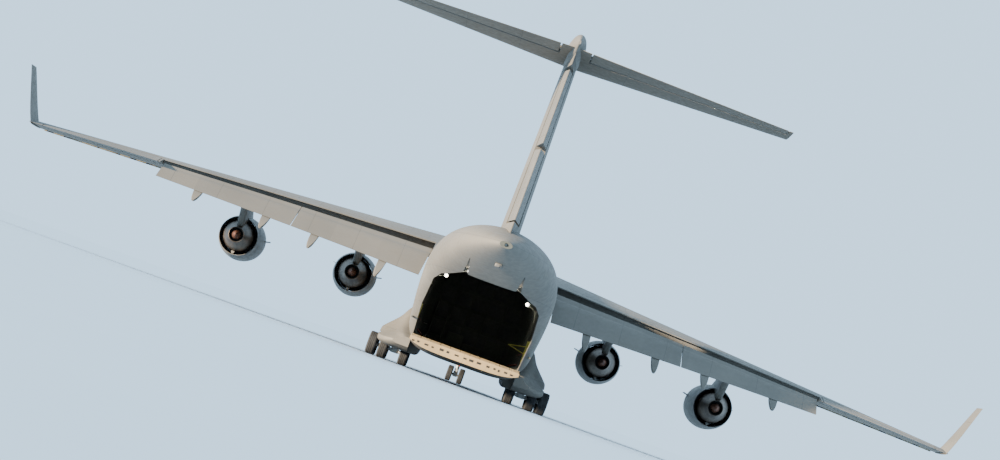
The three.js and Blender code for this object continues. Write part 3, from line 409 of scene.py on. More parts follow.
def plain(name, base, rough, scale=14.0, spread=0.25, bump=0.0015, **sockets):
    """A worn, slightly uneven surface of one colour."""
    s = Shader(name)
    cloud = s.noise(scale, 5, 0.6)
    color = s.mix(s.ramp(cloud, 0.3, 0.75, 0.0, 1.0), base, toned(base, 1 - spread))
    normal = s.bump(s.noise(scale * 6, 4, 0.6), bump, 0.5)
    return s.finish(color, s.ramp(cloud, 0.3, 0.7, rough - 0.06, rough + 0.08), normal, **sockets)


def glowing(name, color, strength):
    """A lit lamp glass, a little clouded."""
    s = Shader(name)
    cloud = s.noise(20.0, 4, 0.6)
    return s.finish(s.mix(cloud, color, toned(color, 0.7)), s.ramp(cloud, 0.3, 0.7, 0.22, 0.38),
                    Emission_Color=(*color, 1), Emission_Strength=strength)


GREY = (0.130, 0.120, 0.104)
HULL = painted("hull_paint", GREY, panels=(0, 1.15, 0.85))
WING = painted("wing_paint", GREY, panels=(1.25, 0, 0), streak=(0.5, 0.25, 1.0))
TAIL = painted("tail_paint", toned(GREY, 1.02), panels=(1.1, 1.3, 1.2))
# Faces that point down get a darker, browner grey: the extra grime is dirt, the darker brown tone is painted
# underside shade.
UNDERSIDE_GRIME_AND_SHADE = painted("underside_grime_and_shade", (0.128, 0.104, 0.078), panels=(1.25, 0, 0), dirt=0.5, streak=(0.5, 0.25, 1.0))
COWL = painted("cowl_paint", toned(GREY, 0.96), panels=(0, 0.62, 0), dirt=0.45)
BELLY = painted("belly_paint", (0.115, 0.100, 0.080), panels=(0.9, 0.8, 0), dirt=0.55)
NOSE = painted("radome_paint", (0.095, 0.093, 0.088), rough=0.5)
CREAM = painted("cream_paint", (0.30, 0.215, 0.115), panels=(0.62, 0, 0), dirt=0.6, rough=0.65)
# Near-black primer, far darker than real primer: painted shade for the hold, the wheel wells, the nose bay
# and the insides of the doors.
SHADED_PRIMER = plain("hold_primer_painted_shade", (0.055, 0.060, 0.052), 0.75)
DECK = plain("deck_grey", (0.06, 0.06, 0.06), 0.7)
SEAT = plain("seat_cloth", (0.16, 0.035, 0.03), 0.85)
# Near-black painted shade, for the inside of the core nozzles and the blocks along the ramp's edge.
SHADE = plain("painted_recess_shade", (0.012, 0.012, 0.012), 0.85)
DUCT = plain("duct_liner", (0.06, 0.06, 0.062), 0.55)
LIP = metal("lip_metal", (0.5, 0.48, 0.45), (0.34, 0.31, 0.28), 0.3)
CORE = metal("core_metal", (0.17, 0.135, 0.105), (0.075, 0.055, 0.042), 0.42)
PLUG = metal("plug_metal", (0.19, 0.075, 0.042), (0.08, 0.040, 0.028), 0.5, metallic=0.5)
FAN = metal("fan_metal", (0.17, 0.17, 0.175), (0.09, 0.09, 0.095), 0.33)
STEEL = plain("gear_paint", (0.42, 0.42, 0.40), 0.4)
CHROME = metal("oleo_chrome", (0.8, 0.8, 0.8), (0.7, 0.7, 0.7), 0.12)
TYRE = plain("tyre_rubber", (0.022, 0.022, 0.023), 0.85, 8.0, 0.4)
HUB = plain("hub_paint", (0.38, 0.38, 0.37), 0.45)
WINDOW = plain("window_glass", (0.012, 0.018, 0.022), 0.07, Coat_Weight=0.6, Coat_Roughness=0.03)
RAIL = plain("rail_paint", (0.34, 0.34, 0.07), 0.55)
RED_LAMP = glowing("beacon_red", (0.9, 0.05, 0.02), 6.0)
WHITE_LAMP = glowing("hold_lamp", (1.0, 0.95, 0.82), 9.0)
GREEN_LAMP = glowing("tip_lamp_green", (0.03, 0.6, 0.25), 1.2)


def slat_back_paint():
    """Cream inside of the slats, broken by near-black painted shade in the cut-outs between the ribs."""
    s = Shader("slat_back")
    axes = s.split()
    bay = s.math("FRACT", s.math("DIVIDE", axes[0], 0.42))
    near = s.noise(1.7, 2, 0.5)
    # The cut-outs are near-black painted shade in place of the dark inside of the slat.
    cutout_shade = s.math("MULTIPLY", s.ramp(bay, 0.5, 0.54), s.ramp(bay, 0.9, 0.94, 1.0, 0.0))
    cutout_shade = s.math("MULTIPLY", cutout_shade, s.ramp(near, 0.4, 0.5))
    color = s.mix(s.ramp(s.noise(5.0, 5), 0.35, 0.7), (0.46, 0.37, 0.21), (0.30, 0.23, 0.12))
    return s.finish(s.mix(cutout_shade, color, (0.03, 0.025, 0.02)), 0.65)


SLAT_BACK = slat_back_paint()


# Fuselage: station, bottom, top, half width, widest height, lower and upper power
HULL_ROWS = [
    (0, 3120, 3380, 130, 3250, 2, 2),
    (250, 2640, 3900, 640, 3270, 2, 2),
    (900, 2180, 4480, 1180, 3330, 2, 2),
    (1900, 1860, 5060, 1700, 3450, 2.1, 2),
    (3300, 1620, 6300, 2350, 3750, 2.2, 2),
    (4700, 1480, 7120, 2850, 4100, 2.4, 2),
    (7000, 1300, 7720, 3250, 4400, 2.8, 2),
    (9500, 1180, 7930, 3430, 4500, 3.6, 2),
    (12500, 1150, 7950, 3430, 4500, 4.5, 2),
    (29500, 1150, 7950, 3430, 4500, 4.6, 2),
    (33000, 2190, 7950, 3430, 4750, 4.5, 2),
    (36500, 3230, 7950, 3390, 5150, 4.3, 2),
    (40000, 4270, 7930, 3150, 5700, 3.8, 2),
    (43000, 5120, 7800, 2650, 6150, 3.2, 2),
    (45500, 5800, 7500, 1900, 6450, 2.6, 2),
    (47500, 6300, 7130, 950, 6650, 2.2, 2),
    (48500, 6560, 6880, 300, 6720, 2, 2),
]
HULL_RING = 128
HULL_STEP, NOSE_STEP, STRAIGHT_STEP = 350, 110, 1700
NOSE_END, STRAIGHT = 1000, (12500, 28000)
CAVITY_BACK = 45500
# Name, start and stop
BARRELS = [
    ("nose_section", 1950, 8000),
    ("forward_fuselage", 8000, 17500),
    ("centre_fuselage", 17500, 29200),
    ("aft_fuselage", 29200, 48500),
]
# Half outline of the ramp's and cargo door's opening: half width and station
OPENING = [(2914, 29500), (2914, 35800), (2710, 40000), (2400, 41300), (1450, 43000), (1345, 45200),
           (1335, 45200), (1200, 43000)]
# Doors: start, stop, low and high; the crew door has round corners over a height only
DOOR_REACH = (2000, 4000)
CREW_DOOR = (8200, 9200, 1700, 3500)
CREW_SQUARE = 2600
CREW_HINGE_X, CREW_HINGE_Z, CREW_ROD = -2640, 1688, 30
TROOP_DOOR = (28200, 29100, 1650, 3500)
# Near, far, start, stop, low and high
WINDOWS = [(70, 1000, 1500, 3400, 5150, 6120), (1060, 4000, 2620, 3350, 5250, 6000),
           (1060, 4000, 3450, 4250, 5250, 6050)]
# Half width, start, stop and top
NOSE_BAY = (650, 5040, 7640, 1800)


def smooth_row(table, key):
    """A table's row at a key between its rows, without overshoot."""
    array = np.array(table, dtype=float)
    keys = array[:, 0]
    steps = np.diff(keys)
    slopes = np.diff(array, axis=0) / steps[:, None]
    lean = np.zeros_like(array)
    lean[0], lean[-1] = slopes[0], slopes[-1]
    same = slopes[:-1] * slopes[1:] > 0
    with np.errstate(divide="ignore", invalid="ignore"):
        middle = 2 / (1 / slopes[:-1] + 1 / slopes[1:])
    lean[1:-1] = np.where(same, middle, 0)
    i = int(np.clip(np.searchsorted(keys, key) - 1, 0, len(keys) - 2))
    t = (key - keys[i]) / steps[i]
    return ((2 * t**3 - 3 * t**2 + 1) * array[i] + (t**3 - 2 * t**2 + t) * steps[i] * lean[i]
            + (3 * t**2 - 2 * t**3) * array[i + 1] + (t**3 - t**2) * steps[i] * lean[i + 1])


def evened(points, count):
    """A closed outline's points, spaced evenly along it."""
    points = np.asarray(points, dtype=float)
    loop = np.vstack([points, points[:1]])
    lengths = np.linalg.norm(np.diff(loop, axis=0), axis=1)
    reach = np.concatenate([[0], np.cumsum(lengths)])
    marks = np.linspace(0, reach[-1], count, endpoint=False)
    return np.column_stack([np.interp(marks, reach, loop[:, k]) for k in range(points.shape[1])])


def hull_ring(station, inset=0, count=HULL_RING):
    """The hull's outline at a station, moved in from the skin."""
    _, bottom, top, half, widest, lower, upper = smooth_row(HULL_ROWS, station)
    turns = np.linspace(0, 2 * np.pi, 721)[:-1]
    c, s = np.cos(turns), np.sin(turns)
    power = np.where(s < 0, lower, upper)
    reach = np.where(s < 0, widest - bottom - inset, top - inset - widest)
    x = np.sign(c) * (half - inset) * np.abs(c) ** (2 / power)
    z = widest + np.sign(s) * reach * np.abs(s) ** (2 / power)
    flat = evened(np.column_stack([x, z]), count)
    return [(px, station, pz) for px, pz in flat]


def hull_stations(start, stop):
    """Close together where the hull curves, and far apart along its straight part."""
    marks = [start]
    while marks[-1] < stop - 1:
        here = marks[-1]
        step = HULL_STEP
        if here < NOSE_END:
            step = NOSE_STEP
        elif STRAIGHT[0] <= here < STRAIGHT[1]:
            step = STRAIGHT_STEP
        marks.append(min(here + step, stop))
    return marks


def hull_solid(name, start, stop, inset=0, count=HULL_RING):
    return loft(name, [hull_ring(s, inset, count) for s in hull_stations(start, stop)])


def hull_shell(name, start, stop, inset=0, wall=WALL):
    """The skin between two stations, as thick as the wall."""
    marks = hull_stations(start, stop)
    rings = [hull_ring(s, inset) for s in marks] + [hull_ring(s, inset + wall) for s in marks[::-1]]
    return loft(name, rings + rings[:1], caps=False)


def both_sides(half):
    """A whole outline from its right half."""
    return list(half) + [(-x, s) for x, s in reversed(half)]


def door_box(door, sign, grow=0):
    start, stop, low, high = door
    near, far = DOOR_REACH
    return side_box("door_cut", sign, near - grow, far, start - grow, stop + grow, low - grow, high + grow)


def rounded(obj, width, axis, above=0):
    """Rounds the edges that run along one axis of a box and lie above a height."""
    work = bmesh.new()
    work.from_mesh(obj.data)
    work.edges.ensure_lookup_table()
    chosen = [e for e in work.edges if abs((e.verts[0].co - e.verts[1].co).normalized()[axis]) > 0.9
              and e.verts[0].co.z > above * UNIT]
    bmesh.ops.bevel(work, geom=chosen, offset=width * UNIT, segments=5, profile=0.5, affect="EDGES")
    work.to_mesh(obj.data)
    work.free()
    return obj


def window_cutters(grow=0):
    cutters = []
    for _, sign in SIDES:
        for x0, x1, start, stop, low, high in WINDOWS:
            pane = side_box("pane_cut", sign, x0 - grow, x1, start - grow, stop + grow,
                            low - grow, high + grow)
            cutters.append(rounded(pane, 110, 1 if x0 == WINDOWS[0][0] else 0))
    return cutters


def make_fuselage():
    radome = loft("radome_skin", [hull_ring(s) for s in hull_stations(0, 1949)])
    finished(radome, NOSE, "root", ["radome"], smooth=35)
    shells = {}
    for name, start, stop in BARRELS[:3]:
        shells[name] = hull_shell(name + "_skin", start, stop - 0.6)
    aft = hull_solid("aft_fuselage_skin", 29200, 48500)
    shells["aft_fuselage"] = carve(aft, [hull_solid("hold_room", 29100, CAVITY_BACK, WALL)])
    half, start, stop, top = NOSE_BAY
    liner = box("nose_bay_liner", -half - 70, half + 70, start - 70, stop + 70, 1250, top + 70)
    carve(liner, [box("bay_room", -half, half, start, stop, 1100, top)])
    liner = carve(liner, [hull_solid("bay_trim", 4000, 8500)], "INTERSECT")
    bay = box("bay_cut", -half, half, start, stop, 0, top)
    carve(shells["nose_section"], [bay, *window_cutters()])
    # The nose bay's liner is near-black primer, painted shade.
    finished(liner, SHADED_PRIMER, "root", smooth=20)
    crew = rounded(door_box(CREW_DOOR, -1), 140, 0, above=CREW_SQUARE)
    room = CREW_ROD + CLEAR
    sill_room = lengthwise("sill_room", CREW_HINGE_X, CREW_HINGE_Z, 8600, 9214, room, 24, 94)
    carve(shells["forward_fuselage"], [crew, crew_rod(8190, 9210, room), sill_room])
    troop = [rounded(door_box(TROOP_DOOR, sign), 160, 0) for _, sign in SIDES]
    carve(shells["centre_fuselage"], troop)
    opening = plan_prism("opening_cut", both_sides(OPENING), 0, 6000)
    barrel = ramp_bar("barrel_cut", RAMP_HALF + CLEAR, RAMP_THICK + CLEAR)
    carve(shells["aft_fuselage"], [opening, barrel])
    for name, obj in shells.items():
        finished(obj, HULL, "root", [name], smooth=32)
        # The inner faces of the hull's wall get near-black primer, painted shade of the hold.
        add_slot(obj, SHADED_PRIMER, inner_face)


def add_slot(obj, material, test):
    """A second material on the faces whose centre and normal pass the test."""
    obj.data.materials.append(material)
    index = len(obj.data.materials) - 1
    for face in obj.data.polygons:
        if test(face.center, face.normal):
            face.material_index = index


# Picks the faces that point down, which get the painted underside shade.
def faces_down(centre, normal):
    return normal.z < -0.3


def inner_face(centre, normal):
    """True inside the middle of the hull's wall."""
    station = LENGTH / 2 - centre.y / UNIT
    x, z = centre.x / UNIT, centre.z / UNIT
    _, bottom, top, half, widest, lower, upper = smooth_row(HULL_ROWS, station)
    inset = WALL * 0.5
    power, reach = (lower, widest - bottom - inset) if z < widest else (upper, top - inset - widest)
    if reach <= 0 or half <= inset:
        return False
    return (abs(x) / (half - inset)) ** power + (abs(z - widest) / reach) ** power < 1


def make_glass():
    outer = hull_shell("cockpit_glass_panes", 1300, 5000, 45, 60)
    carve(outer, [joined("pane_blocks", window_cutters(-1))], "INTERSECT")
    finished(outer, WINDOW, "root", ["cockpit_glass"], smooth=40)
    frames = hull_shell("window_frames", 1400, 4800, -6, 60)
    carve(frames, [joined("frame_blocks", window_cutters(45))], "INTERSECT")
    carve(frames, [joined("frame_holes", window_cutters())])
    finished(frames, DECK, "root", smooth=30)


def crew_rod(start, stop, radius):
    return lengthwise("crew_door_rod", CREW_HINGE_X, CREW_HINGE_Z, start, stop, radius)


def door_patch(name, door, sign, grow=-4, above=0):
    """A door's leaf, cut out of the hull's skin."""
    start, stop = door[:2]
    patch = hull_shell(name, start - 200, stop + 200)
    return carve(patch, [rounded(door_box(door, sign, grow), 135, 0, above=above)], "INTERSECT")


def make_side_doors():
    door = door_patch("crew_door_leaf", CREW_DOOR, -1, -14, above=CREW_SQUARE)
    carve(door, [lengthwise("leaf_relief", -2545, 1690, 8150, 9250, 88)])
    steps = [box("step", -3180 + i * 120, -2960 + i * 120, 8420, 8980, 2000 + i * 430, 2040 + i * 430)
             for i in range(3)]
    rail = [upright("rail", -2560, s, 1730, 2250, 18, 12) for s in (8290, 9110)]
    finished(door, HULL, "crew_door", ["crew_door"], smooth=32)
    # The door's inner faces get near-black primer, painted shade.
    add_slot(door, SHADED_PRIMER, inner_face)
    inside = joined("crew_door_steps", steps + rail + [crew_rod(8155, 9245, CREW_ROD)])
    carve(inside, [hull_solid("step_trim", 8000, 9400, 60, 64)], "INTERSECT", smooth=30)
    finished(inside, STEEL, "crew_door")
    for side, sign in SIDES:
        leaf = door_patch(f"troop_door_{side}_leaf", TROOP_DOOR, sign)
        finished(leaf, HULL, "root", [f"troop_door_{side}"], smooth=32)
        # The door's inner faces get near-black primer, painted shade.
        add_slot(leaf, SHADED_PRIMER, inner_face)
        port = across(f"troop_window_{side}", sign * 3377, sign * 47, 28650, 3060, 130, 32)
        finished(port, WINDOW, "root", smooth=40)


# Wing planform and section, the right side; lengths along the chord are fractions
HALF_SPAN = 25150
WING_CHORDS = (11200, 2800)
WING_LEAD, WING_SWEEP = 16500, 0.5498
WING_LEAD_Z, WING_FALL = 7260, 0.07597
WING_TWISTS = (4, 1)
WING_RATIOS = (0.148, 0.105)
WING_CAMBER = 0.02
ROOT_X = 2500
TRAILING_HALF = 0.0015
FLAP_WALL, FLAP_NOSE, FLAP_SHELF, SHELF_THICK = 0.73, 0.75, 0.8, 0.006
FLAP_HINGE, HINGE_EYE = (0.74, -0.12), 90
FLAP_REST = 32
# Flaps: name, bay, span and where the track fairings are
FLAPS = [
    ("flap_inboard", (3500, 11010), (3810, 10990), (5850, 9650)),
    ("flap_outboard", (11010, 18350), (11034, 18330), (12350, 16050)),
]
AILERON_BAY, AILERON_SPAN, AILERON_HINGE, AILERON_WALL = (18450, 24500), (18495, 24455), 0.75, 0.715
# Height, distance out, leading edge and chord
WINGLET = [(5230, 25060, 30700, 2380), (5650, 25215, 31050, 2200), (8050, 25865, 32850, 1250)]
WINGLET_RATIO = 0.09
SLAT_ENDS = (3900, 24900)
SLAT_BREAKS = (7550, 14050)
SLAT_DROOP, SLAT_FORWARD, SLAT_DOWN = 22, 0.07, 0.04
SLAT_TRACKS = (4600, 6700, 9000, 12700, 15600, 19500, 23800)
FINE = [0.5 - 0.5 * math.cos(math.pi * i / 32) for i in range(33)]


def lerp(a, b, t):
    return a + (b - a) * t


def curved(points, steps=5):
    """A smooth curve through an open row of points."""
    array = np.asarray(points, dtype=float)
    padded = np.vstack([2 * array[0] - array[1], array, 2 * array[-1] - array[-2]])
    out = []
    for i in range(1, len(padded) - 2):
        p0, p1, p2, p3 = padded[i - 1:i + 3]
        for k in range(steps):
            t = k / steps
            out.append(0.5 * (2 * p1 + (p2 - p0) * t + (2 * p0 - 5 * p1 + 4 * p2 - p3) * t**2
                              + (3 * p1 - p0 - 3 * p2 + p3) * t**3))
    out.append(array[-1])
    return [tuple(point) for point in out]


def half_thick(f, ratio):
    """Half of a section's thickness at chord fraction f."""
    shape = 0.2969 * math.sqrt(f) - 0.126 * f - 0.3516 * f**2 + 0.2843 * f**3 - 0.1036 * f**4
    return max(5 * ratio * shape, TRAILING_HALF if f > 0.5 else 0)


def even_outline(ratio):
    """A section with the same curve above and below."""
    return [(f, half_thick(f, ratio)) for f in FINE] + [(f, -half_thick(f, ratio)) for f in FINE[:0:-1]]


def chord_at(x):
    return lerp(*WING_CHORDS, x / HALF_SPAN)


def camber_at(f):
    return 4 * WING_CAMBER * f * (1 - f)


def wing_half(x, f):
    return half_thick(f, lerp(*WING_RATIOS, x / HALF_SPAN))


def upper_at(x, f):
    return camber_at(f) + wing_half(x, f)


def lower_at(x, f):
    return camber_at(f) - wing_half(x, f)


def wing_point(sign, x, f, h, aside=0):
    """The point at chord fraction f and height h chords of the section at x."""
    chord = chord_at(x)
    twist = math.radians(lerp(*WING_TWISTS, x / HALF_SPAN))
    back = chord * (f * math.cos(twist) + h * math.sin(twist))
    up = chord * (h * math.cos(twist) - f * math.sin(twist))
    return (sign * (x + aside), WING_LEAD + WING_SWEEP * x + back, WING_LEAD_Z - WING_FALL * x + up)


def span_loft(name, sign, xs, outline, smooth=30):
    rings = [[wing_point(sign, x, f, h) for f, h in outline(x)] for x in xs]
    return loft(name, rings, smooth=smooth)


def between(a, b, count):
    """Evenly spaced numbers from a to b."""
    return [lerp(a, b, i / (count - 1)) for i in range(count)]


def wing_outline(x):
    top = [(f, upper_at(x, f)) for f in FINE]
    return top + [(f, lower_at(x, f)) for f in FINE[:0:-1]]


def flap_bay(x):
    """The room behind the wing's box, under a thin shelf of the upper skin."""
    return [(FLAP_WALL, -0.2), (FLAP_WALL, upper_at(x, FLAP_WALL) - SHELF_THICK),
            (FLAP_SHELF, upper_at(x, FLAP_SHELF) - SHELF_THICK), (FLAP_SHELF, 0.2), (1.1, 0.2), (1.1, -0.2)]


def flap_outline(x):
    depth = upper_at(x, FLAP_NOSE) - lower_at(x, FLAP_NOSE)
    nose = [(0.77, lower_at(x, 0.77) + 0.001), (0.755, lower_at(x, 0.755) + 0.2 * depth),
            (FLAP_NOSE, lower_at(x, FLAP_NOSE) + 0.5 * depth), (0.757, lower_at(x, 0.757) + 0.78 * depth),
            (0.775, upper_at(x, 0.775) - 0.0105), (0.8, upper_at(x, 0.8) - 0.0095),
            (0.822, upper_at(x, 0.822) - 0.0005)]
    top = [(f, upper_at(x, f)) for f in (0.86, 0.9, 0.95, 1)]
    under = [(f, lower_at(x, f)) for f in (1, 0.95, 0.9, 0.85, 0.8)]
    return curved(nose, 4) + top + under


def aileron_outline(x):
    radius, middle = 0.98 * wing_half(x, AILERON_HINGE), camber_at(AILERON_HINGE)
    nose = []
    for i in range(13):
        turn = math.radians(120 + 10 * i)
        nose.append((AILERON_HINGE + radius * math.cos(turn), middle + radius * math.sin(turn)))
    top = [(f, upper_at(x, f)) for f in (1, 0.94, 0.88, 0.81, AILERON_HINGE)]
    under = [(f, lower_at(x, f)) for f in (AILERON_HINGE, 0.81, 0.88, 0.94, 1)]
    return top + nose + under


def canoe_ring(sign, x, f, half, top, bottom):
    """A rounded section of a flap track fairing, flat along its top."""
    ring = []
    for i in range(25):
        turn = math.pi * i / 24
        c, s = math.cos(turn), math.sin(turn)
        aside = half * math.copysign(abs(c) ** 0.75, c)
        ring.append(wing_point(sign, x, f, lerp(top, bottom, s**0.75), aside))
    return ring


def canoe(name, sign, x, rows):
    fractions = between(rows[0][0], rows[-1][0], 15)
    return loft(name, [canoe_ring(sign, x, *smooth_row(rows, f)) for f in fractions], smooth=30)


def hinge_line(sign, span):
    return [spot(*wing_point(sign, x, *FLAP_HINGE)) for x in span]


def turned_flap(obj, sign, span):
    """From the closed position to where the photograph has the flaps."""
    inner, outer = hinge_line(sign, span)
    return turned(obj, inner, (outer - inner).normalized() * sign, FLAP_REST)


def hinge_arc(x, start, stop, count):
    """An arc about the flap hinge, in fractions of the chord."""
    eye = HINGE_EYE / chord_at(x)
    f, h = FLAP_HINGE
    return [(f + eye * math.cos(t), h + eye * math.sin(t)) for t in between(start, stop, count)]


def hinge_point(sign, x, span):
    inner, outer = hinge_line(sign, span)
    return inner.lerp(outer, (x - span[0]) / (span[1] - span[0]))


def back_spot(point):
    """Model metres back to the aircraft's millimetres."""
    return (point.x / UNIT, LENGTH / 2 - point.y / UNIT, point.z / UNIT)


def plate(name, sign, x, half, outline):
    """An upright plate along the chord."""
    rings = [[wing_point(sign, x, f, h, aside) for f, h in outline] for aside in (-half, half)]
    return loft(name, rings)


def make_wing(side, sign):
    skin = span_loft("wing_skin_" + side, sign, between(ROOT_X, HALF_SPAN, 12), wing_outline)
    cutters = [hull_solid("root_cut", 14000, 33000, -1, 64)]
    for _, bay, _, _ in FLAPS:
        cutters.append(span_loft("bay_cut", sign, bay, flap_bay, smooth=None))
    square = [(AILERON_WALL, -0.2), (AILERON_WALL, 0.2), (1.1, 0.2), (1.1, -0.2)]
    cutters.append(span_loft("bay_cut", sign, AILERON_BAY, lambda x: square, smooth=None))
    carve(skin, cutters, smooth=28)
    fairings = []
    for _, _, span, xs in FLAPS:
        for x in xs:
            rows = [(0.36, 40, lower_at(x, 0.36) + 0.01, lower_at(x, 0.36) - 0.002),
                    (0.44, 150, lower_at(x, 0.44) + 0.01, -0.085),
                    (0.56, 205, lower_at(x, 0.56) + 0.01, -0.128),
                    (0.705, 205, lower_at(x, 0.705) + 0.01, -0.14)]
            fairings.append(canoe("fixed_canoe", sign, x, rows))
    finished(skin, WING, "root", ["wing_" + side])
    # The wing's downward faces get painted underside shade.
    add_slot(skin, UNDERSIDE_GRIME_AND_SHADE, faces_down)
    finished(joined("flap_fairings_fixed_" + side, fairings), WING, "root", smooth=30)
    cheeks = []
    for _, _, span, xs in FLAPS:
        for x in xs:
            eye, h = HINGE_EYE / chord_at(x), FLAP_HINGE[1]
            outline = [(0.7, h + eye), *hinge_arc(x, math.pi / 2, -math.pi / 2, 9), (0.7, h - eye)]
            for hand in (-1, 1):
                rings = [[wing_point(sign, x, a, b, hand * aside) for a, b in outline]
                         for aside in (120, 160)]
                cheeks.append(loft("cheek", rings, smooth=30))
            ends = [back_spot(hinge_point(sign, x + reach, span)) for reach in (-172, 172)]
            cheeks.append(rod("hinge_pin", *ends, 40))
    finished(joined("flap_hinge_cheeks_" + side, cheeks), STEEL, "root")
    make_winglet(side, sign)
    make_spoilers(side, sign)


def make_winglet(side, sign):
    outline = even_outline(WINGLET_RATIO)
    rings = []
    for z in between(WINGLET[0][0], WINGLET[-1][0], 13):
        _, x, lead, chord = smooth_row(WINGLET, z)
        rings.append([(sign * (x + chord * h - 20), lead + f * chord, z) for f, h in outline])
    skin = loft("winglet_skin_" + side, rings, smooth=30)
    finished(skin, TAIL, "root")
    x, station, z = wing_point(sign, HALF_SPAN - 40, 0.16, 0.0)
    lamp = lengthwise("wing_tip_lamp_" + side, x, z, station - 180, station + 240, 62, 24, 30)
    finished(lamp, GREEN_LAMP if sign > 0 else RED_LAMP, "root")


def spoiler_outline(x):
    fractions = between(0.622, 0.728, 6)
    return ([(f, upper_at(x, f) + 6 / chord_at(x)) for f in fractions]
            + [(f, upper_at(x, f) - 12 / chord_at(x)) for f in fractions[::-1]])


def make_spoilers(side, sign):
    """Closed spoilers: thin panels on the upper skin ahead of the flaps."""
    panels = []
    for start, stop in ((4000, 7050), (7150, 10300), (11250, 14700), (14800, 18200)):
        xs = between(start, stop, 5)
        panels.append(span_loft("spoiler", sign, xs, spoiler_outline))
    finished(joined("spoiler_panels_" + side, panels), WING, "root")


def make_flaps(side, sign):
    for name, _, span, xs in FLAPS:
        label = f"{name}_{side}"
        flap = turned_flap(span_loft(label + "_skin", sign, between(*span, 7), flap_outline), sign, span)
        finished(flap, WING, label, [label])
        canoes, arms = [], []
        for x in xs:
            rows = [(0.795, 215, lower_at(x, 0.795) + 0.008, -0.1),
                    (0.9, 240, lower_at(x, 0.9) + 0.006, -0.104),
                    (1.0, 215, -0.004, -0.092), (1.06, 150, -0.02, -0.08), (1.095, 55, -0.04, -0.06)]
            canoes.append(turned_flap(canoe("rear_canoe", sign, x, rows), sign, span))
            depth = upper_at(x, FLAP_NOSE) - lower_at(x, FLAP_NOSE)
            outline = [(0.756, lower_at(x, 0.756) + 0.3 * depth), (0.83, lower_at(x, 0.83) + 0.005),
                       (0.8, -0.09), *hinge_arc(x, -math.pi / 2, -math.pi, 7)]
            arms.append(turned_flap(plate("arm", sign, x, 78, outline), sign, span))
        finished(joined(label + "_canoes", canoes), WING, label, smooth=30)
        finished(joined(label + "_arms", arms), STEEL, label)


def end_pins(name, ends, body, which=(0, 1)):
    """Pins that stand out of a control surface's ends, on its hinge line."""
    pins = []
    for i in which:
        start, other = spot(*ends[i]), spot(*ends[1 - i])
        away = (start - other).normalized()
        pins.append(rod("pin", back_spot(start - away * 0.02), back_spot(start + away * 0.055), 30))
    finished(joined(name, pins), STEEL, body)


def make_aileron(side, sign):
    label = "aileron_" + side
    skin = span_loft(label + "_skin", sign, between(*AILERON_SPAN, 5), aileron_outline)
    finished(skin, WING, label, [label])
    ends = [wing_point(sign, x, AILERON_HINGE, camber_at(AILERON_HINGE)) for x in AILERON_SPAN]
    end_pins(label + "_pins", ends, label)


def slat_outline(x):
    outer = [(0.03, lower_at(x, 0.03)), (0.008, lower_at(x, 0.008)), (0, 0), (0.012, upper_at(x, 0.012)),
             (0.05, upper_at(x, 0.05)), (0.12, upper_at(x, 0.12))]
    inner = [(0.118, upper_at(x, 0.118) - 0.004), (0.05, upper_at(x, 0.05) - 0.017), (0.018, 0),
             (0.0295, lower_at(x, 0.03) + 0.002)]
    turn = math.radians(SLAT_DROOP)
    ring = curved(outer, 5) + curved(inner, 5)
    return [(f * math.cos(turn) - h * math.sin(turn) - SLAT_FORWARD,
             h * math.cos(turn) + f * math.sin(turn) - SLAT_DOWN) for f, h in ring]


def make_slats(side, sign):
    """Strips between the pylons, cream on their backs with near-black painted shade in the cut-outs, and the
    tracks that carry them.
    """
    edges = [SLAT_ENDS[0]]
    for gap in SLAT_BREAKS:
        edges += [gap - 300, gap + 300]
    edges.append(SLAT_ENDS[1])
    strips = []
    for a, b in zip(edges[::2], edges[1::2]):
        strips.append(span_loft("slat_strip", sign, between(a, b, 9), slat_outline))
    for a, b in zip(edges[1:-1:2], edges[2:-1:2]):
        strips.append(span_loft("slat_bridge", sign, [a - 1, b + 1], slat_bridge))
    skin = joined("slat_skins_" + side, strips)
    finished(skin, WING, "root", ["slats_" + side])
    # The slats' backs get cream paint with painted shade in the cut-outs.
    add_slot(skin, SLAT_BACK, lambda centre, normal: slat_back(sign, centre, normal))
    track = [(-0.045, 0.0), (0.02, 0.02), (0.02, -0.008), (-0.04, -0.03)]
    rails = [plate("track", sign, x, 35, track) for x in SLAT_TRACKS]
    finished(joined("slat_tracks_" + side, rails), STEEL, "root")


def slat_bridge(x):
    """Over a pylon only the upper part of the slat goes through."""
    return [(f, max(h, -0.03)) for f, h in slat_outline(x)]


def slat_back(sign, centre, normal):
    x = abs(centre.x) / UNIT
    lead = spot(*wing_point(sign, x, 0, 0))
    return normal.y < -0.2 and (lead.y - centre.y) / UNIT < 0.06 * chord_at(x)


# Fairing over the wing roots: station, half width, top
HUMP = [(14800, 600, 7900), (16500, 1900, 8250), (19000, 2499.4, 8420), (25000, 2499.4, 8380),
        (28500, 2100, 8150), (31500, 900, 7960)]
HUMP_BASE = 6500


def make_wing_fairing():
    rings = []
    for station in between(HUMP[0][0], HUMP[-1][0], 44):
        _, half, top = smooth_row(HUMP, station)
        ring = []
        for i in range(61):
            turn = math.radians(3 * i)
            c, s = math.cos(turn), max(math.sin(turn), 0)
            x = half * math.copysign(abs(c) ** 0.6, c)
            ring.append((x, station, HUMP_BASE + (top - HUMP_BASE) * s**0.6))
        rings.append(ring)
    skin = loft("wing_fairing_skin", rings)
    carve(skin, [hull_solid("hump_cut", 14000, 33000, 40, 64)], smooth=30)
    finished(skin, HULL, "root", ["wing_fairing"])


# Engines: number, side, distance out, station of the inlet, height of the axis
ENGINES = [(1, -1, 14050, 19000, 3660), (2, -1, 7550, 15400, 4000), (3, 1, 7550, 15400, 4000),
           (4, 1, 14050, 19000, 3660)]
AFT = (0, -1, 0)
